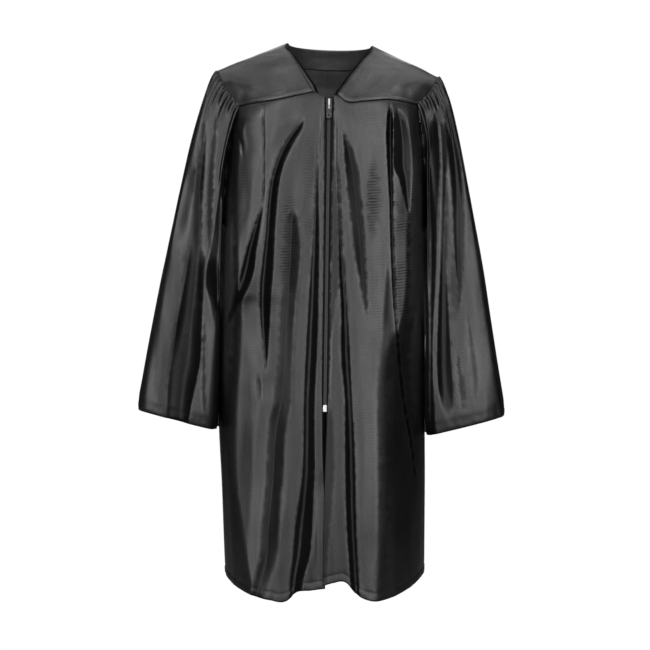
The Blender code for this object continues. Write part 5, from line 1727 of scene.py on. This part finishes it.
def build_stage():
    """A plain pale floor and room."""
    bm = bmesh.new()
    bmesh.ops.create_grid(bm, x_segments=1, y_segments=1, size=FLOOR_REACH)
    mesh = bpy.data.meshes.new("floor")
    bmesh.ops.translate(bm, vec=(0, 0, FLOOR_HEIGHT), verts=bm.verts)
    bm.to_mesh(mesh)
    bm.free()
    floor = bpy.data.objects.new("floor", mesh)
    scene.collection.objects.link(floor)
    material, tree, shader = blank_material("pale_floor")
    shader.inputs["Base Color"].default_value = (0.16, 0.16, 0.16, 1.0)
    shader.inputs["Roughness"].default_value = 0.9
    shader.inputs["Emission Color"].default_value = (1.0, 1.0, 1.0, 1.0)
    shader.inputs["Emission Strength"].default_value = FLOOR_GLOW
    glow = add(tree, "ShaderNodeEmission", Strength=ROOM_SEEN)
    path = add(tree, "ShaderNodeLightPath")
    blend = add(tree, "ShaderNodeMixShader")
    tree.links.new(path.outputs["Is Camera Ray"], blend.inputs["Fac"])
    tree.links.new(shader.outputs["BSDF"], blend.inputs[1])
    tree.links.new(glow.outputs["Emission"], blend.inputs[2])
    tree.links.new(blend.outputs["Shader"], tree.nodes["Material Output"].inputs["Surface"])
    mesh.materials.append(material)
    world = bpy.data.worlds.new("pale_room")
    world.use_nodes = True
    tree = world.node_tree
    back = tree.nodes["Background"]
    back.inputs["Color"].default_value = (1.0, 1.0, 1.0, 1.0)
    path = add(tree, "ShaderNodeLightPath")
    seen = times(tree, path.outputs["Is Camera Ray"], ROOM_SEEN - ROOM_LIGHT)
    tree.links.new(plus(tree, seen, ROOM_LIGHT), back.inputs["Strength"])
    scene.world = world


def softbox(name, place, aim, width, height, radiance):
    """A rectangular softbox that the camera doesn't see."""
    light = bpy.data.lights.new(name, "AREA")
    light.shape = "RECTANGLE"
    light.size, light.size_y = width, height
    light.energy = math.pi * width * height * radiance
    lamp = bpy.data.objects.new(name, light)
    scene.collection.objects.link(lamp)
    lamp.location = place
    lamp.rotation_euler = (Vector(aim) - Vector(place)).to_track_quat("-Z", "Y").to_euler()
    lamp.visible_camera = False


def build_camera():
    """The camera, level with the gown's middle."""
    data = bpy.data.cameras.new("catalogue_camera")
    data.sensor_width = CAMERA_SENSOR
    data.lens = CAMERA_LENS
    data.clip_end = 100.0
    camera = bpy.data.objects.new("catalogue_camera", data)
    scene.collection.objects.link(camera)
    level = Matrix.Rotation(math.radians(90.0), 4, "X") @ Matrix.Rotation(math.radians(CAMERA_ROLL), 4, "Z")
    camera.matrix_world = Matrix.Translation(CAMERA_PLACE) @ level
    scene.camera = camera
    scene.view_settings.view_transform = "Standard"


def repaint(name, material):
    """Gives a CAD solid that stays its finish."""
    obj = nodes[name]
    if not obj.data.materials:
        obj.data.materials.append(material)
    for slot in obj.material_slots:
        slot.material = material


def main():
    """Builds everything in order."""
    weave = satin_weave_group()
    wear = metal_wear_group()
    satin = satin_material("black_satin_weave", weave, (0.052, 0.052, 0.0535), 0.33)
    # The facings' matt satin, which their painted light darkens as painted shade
    painted_shade_satin = satin_material("black_satin_facing", weave, (0.085, 0.085, 0.086), 0.42, 0.0, 0.02)
    webbing = webbing_material()
    dark_metal = metal_material(
        "dark_zip_metal", wear, (0.030, 0.030, 0.032), (0.11, 0.11, 0.115), (0.28, 0.44)
    )
    # The slider's bridge carries a painted highlight down its middle
    bridge_metal = metal_material(
        "bridge_zip_metal", wear, (0.045, 0.045, 0.047), (0.62, 0.62, 0.63), (0.22, 0.38), painted_highlight_half_width=0.0010
    )
    silver = metal_material("silver_zip_metal", wear, (0.52, 0.52, 0.53), (0.80, 0.80, 0.81), (0.16, 0.34))
    coil = metal_material(
        "coil_nylon", wear, (0.012, 0.012, 0.012), (0.03, 0.03, 0.03), (0.30, 0.42), 0.00003, metallic=0.0
    )
    panels = body_panels()
    build_shell(panels, satin)
    build_facings(panels, satin, painted_shade_satin)
    build_tapes(panels, webbing)
    build_coil(coil)
    build_stitches(panels, thread_material())
    repaint("zip_slider", bridge_metal)
    repaint("zip_pull_tab", dark_metal)
    repaint("zip_bottom_stop", silver)
    build_stage()
    for name, setting in SOFTBOXES.items():
        softbox(name, *setting)
    build_camera()


main()
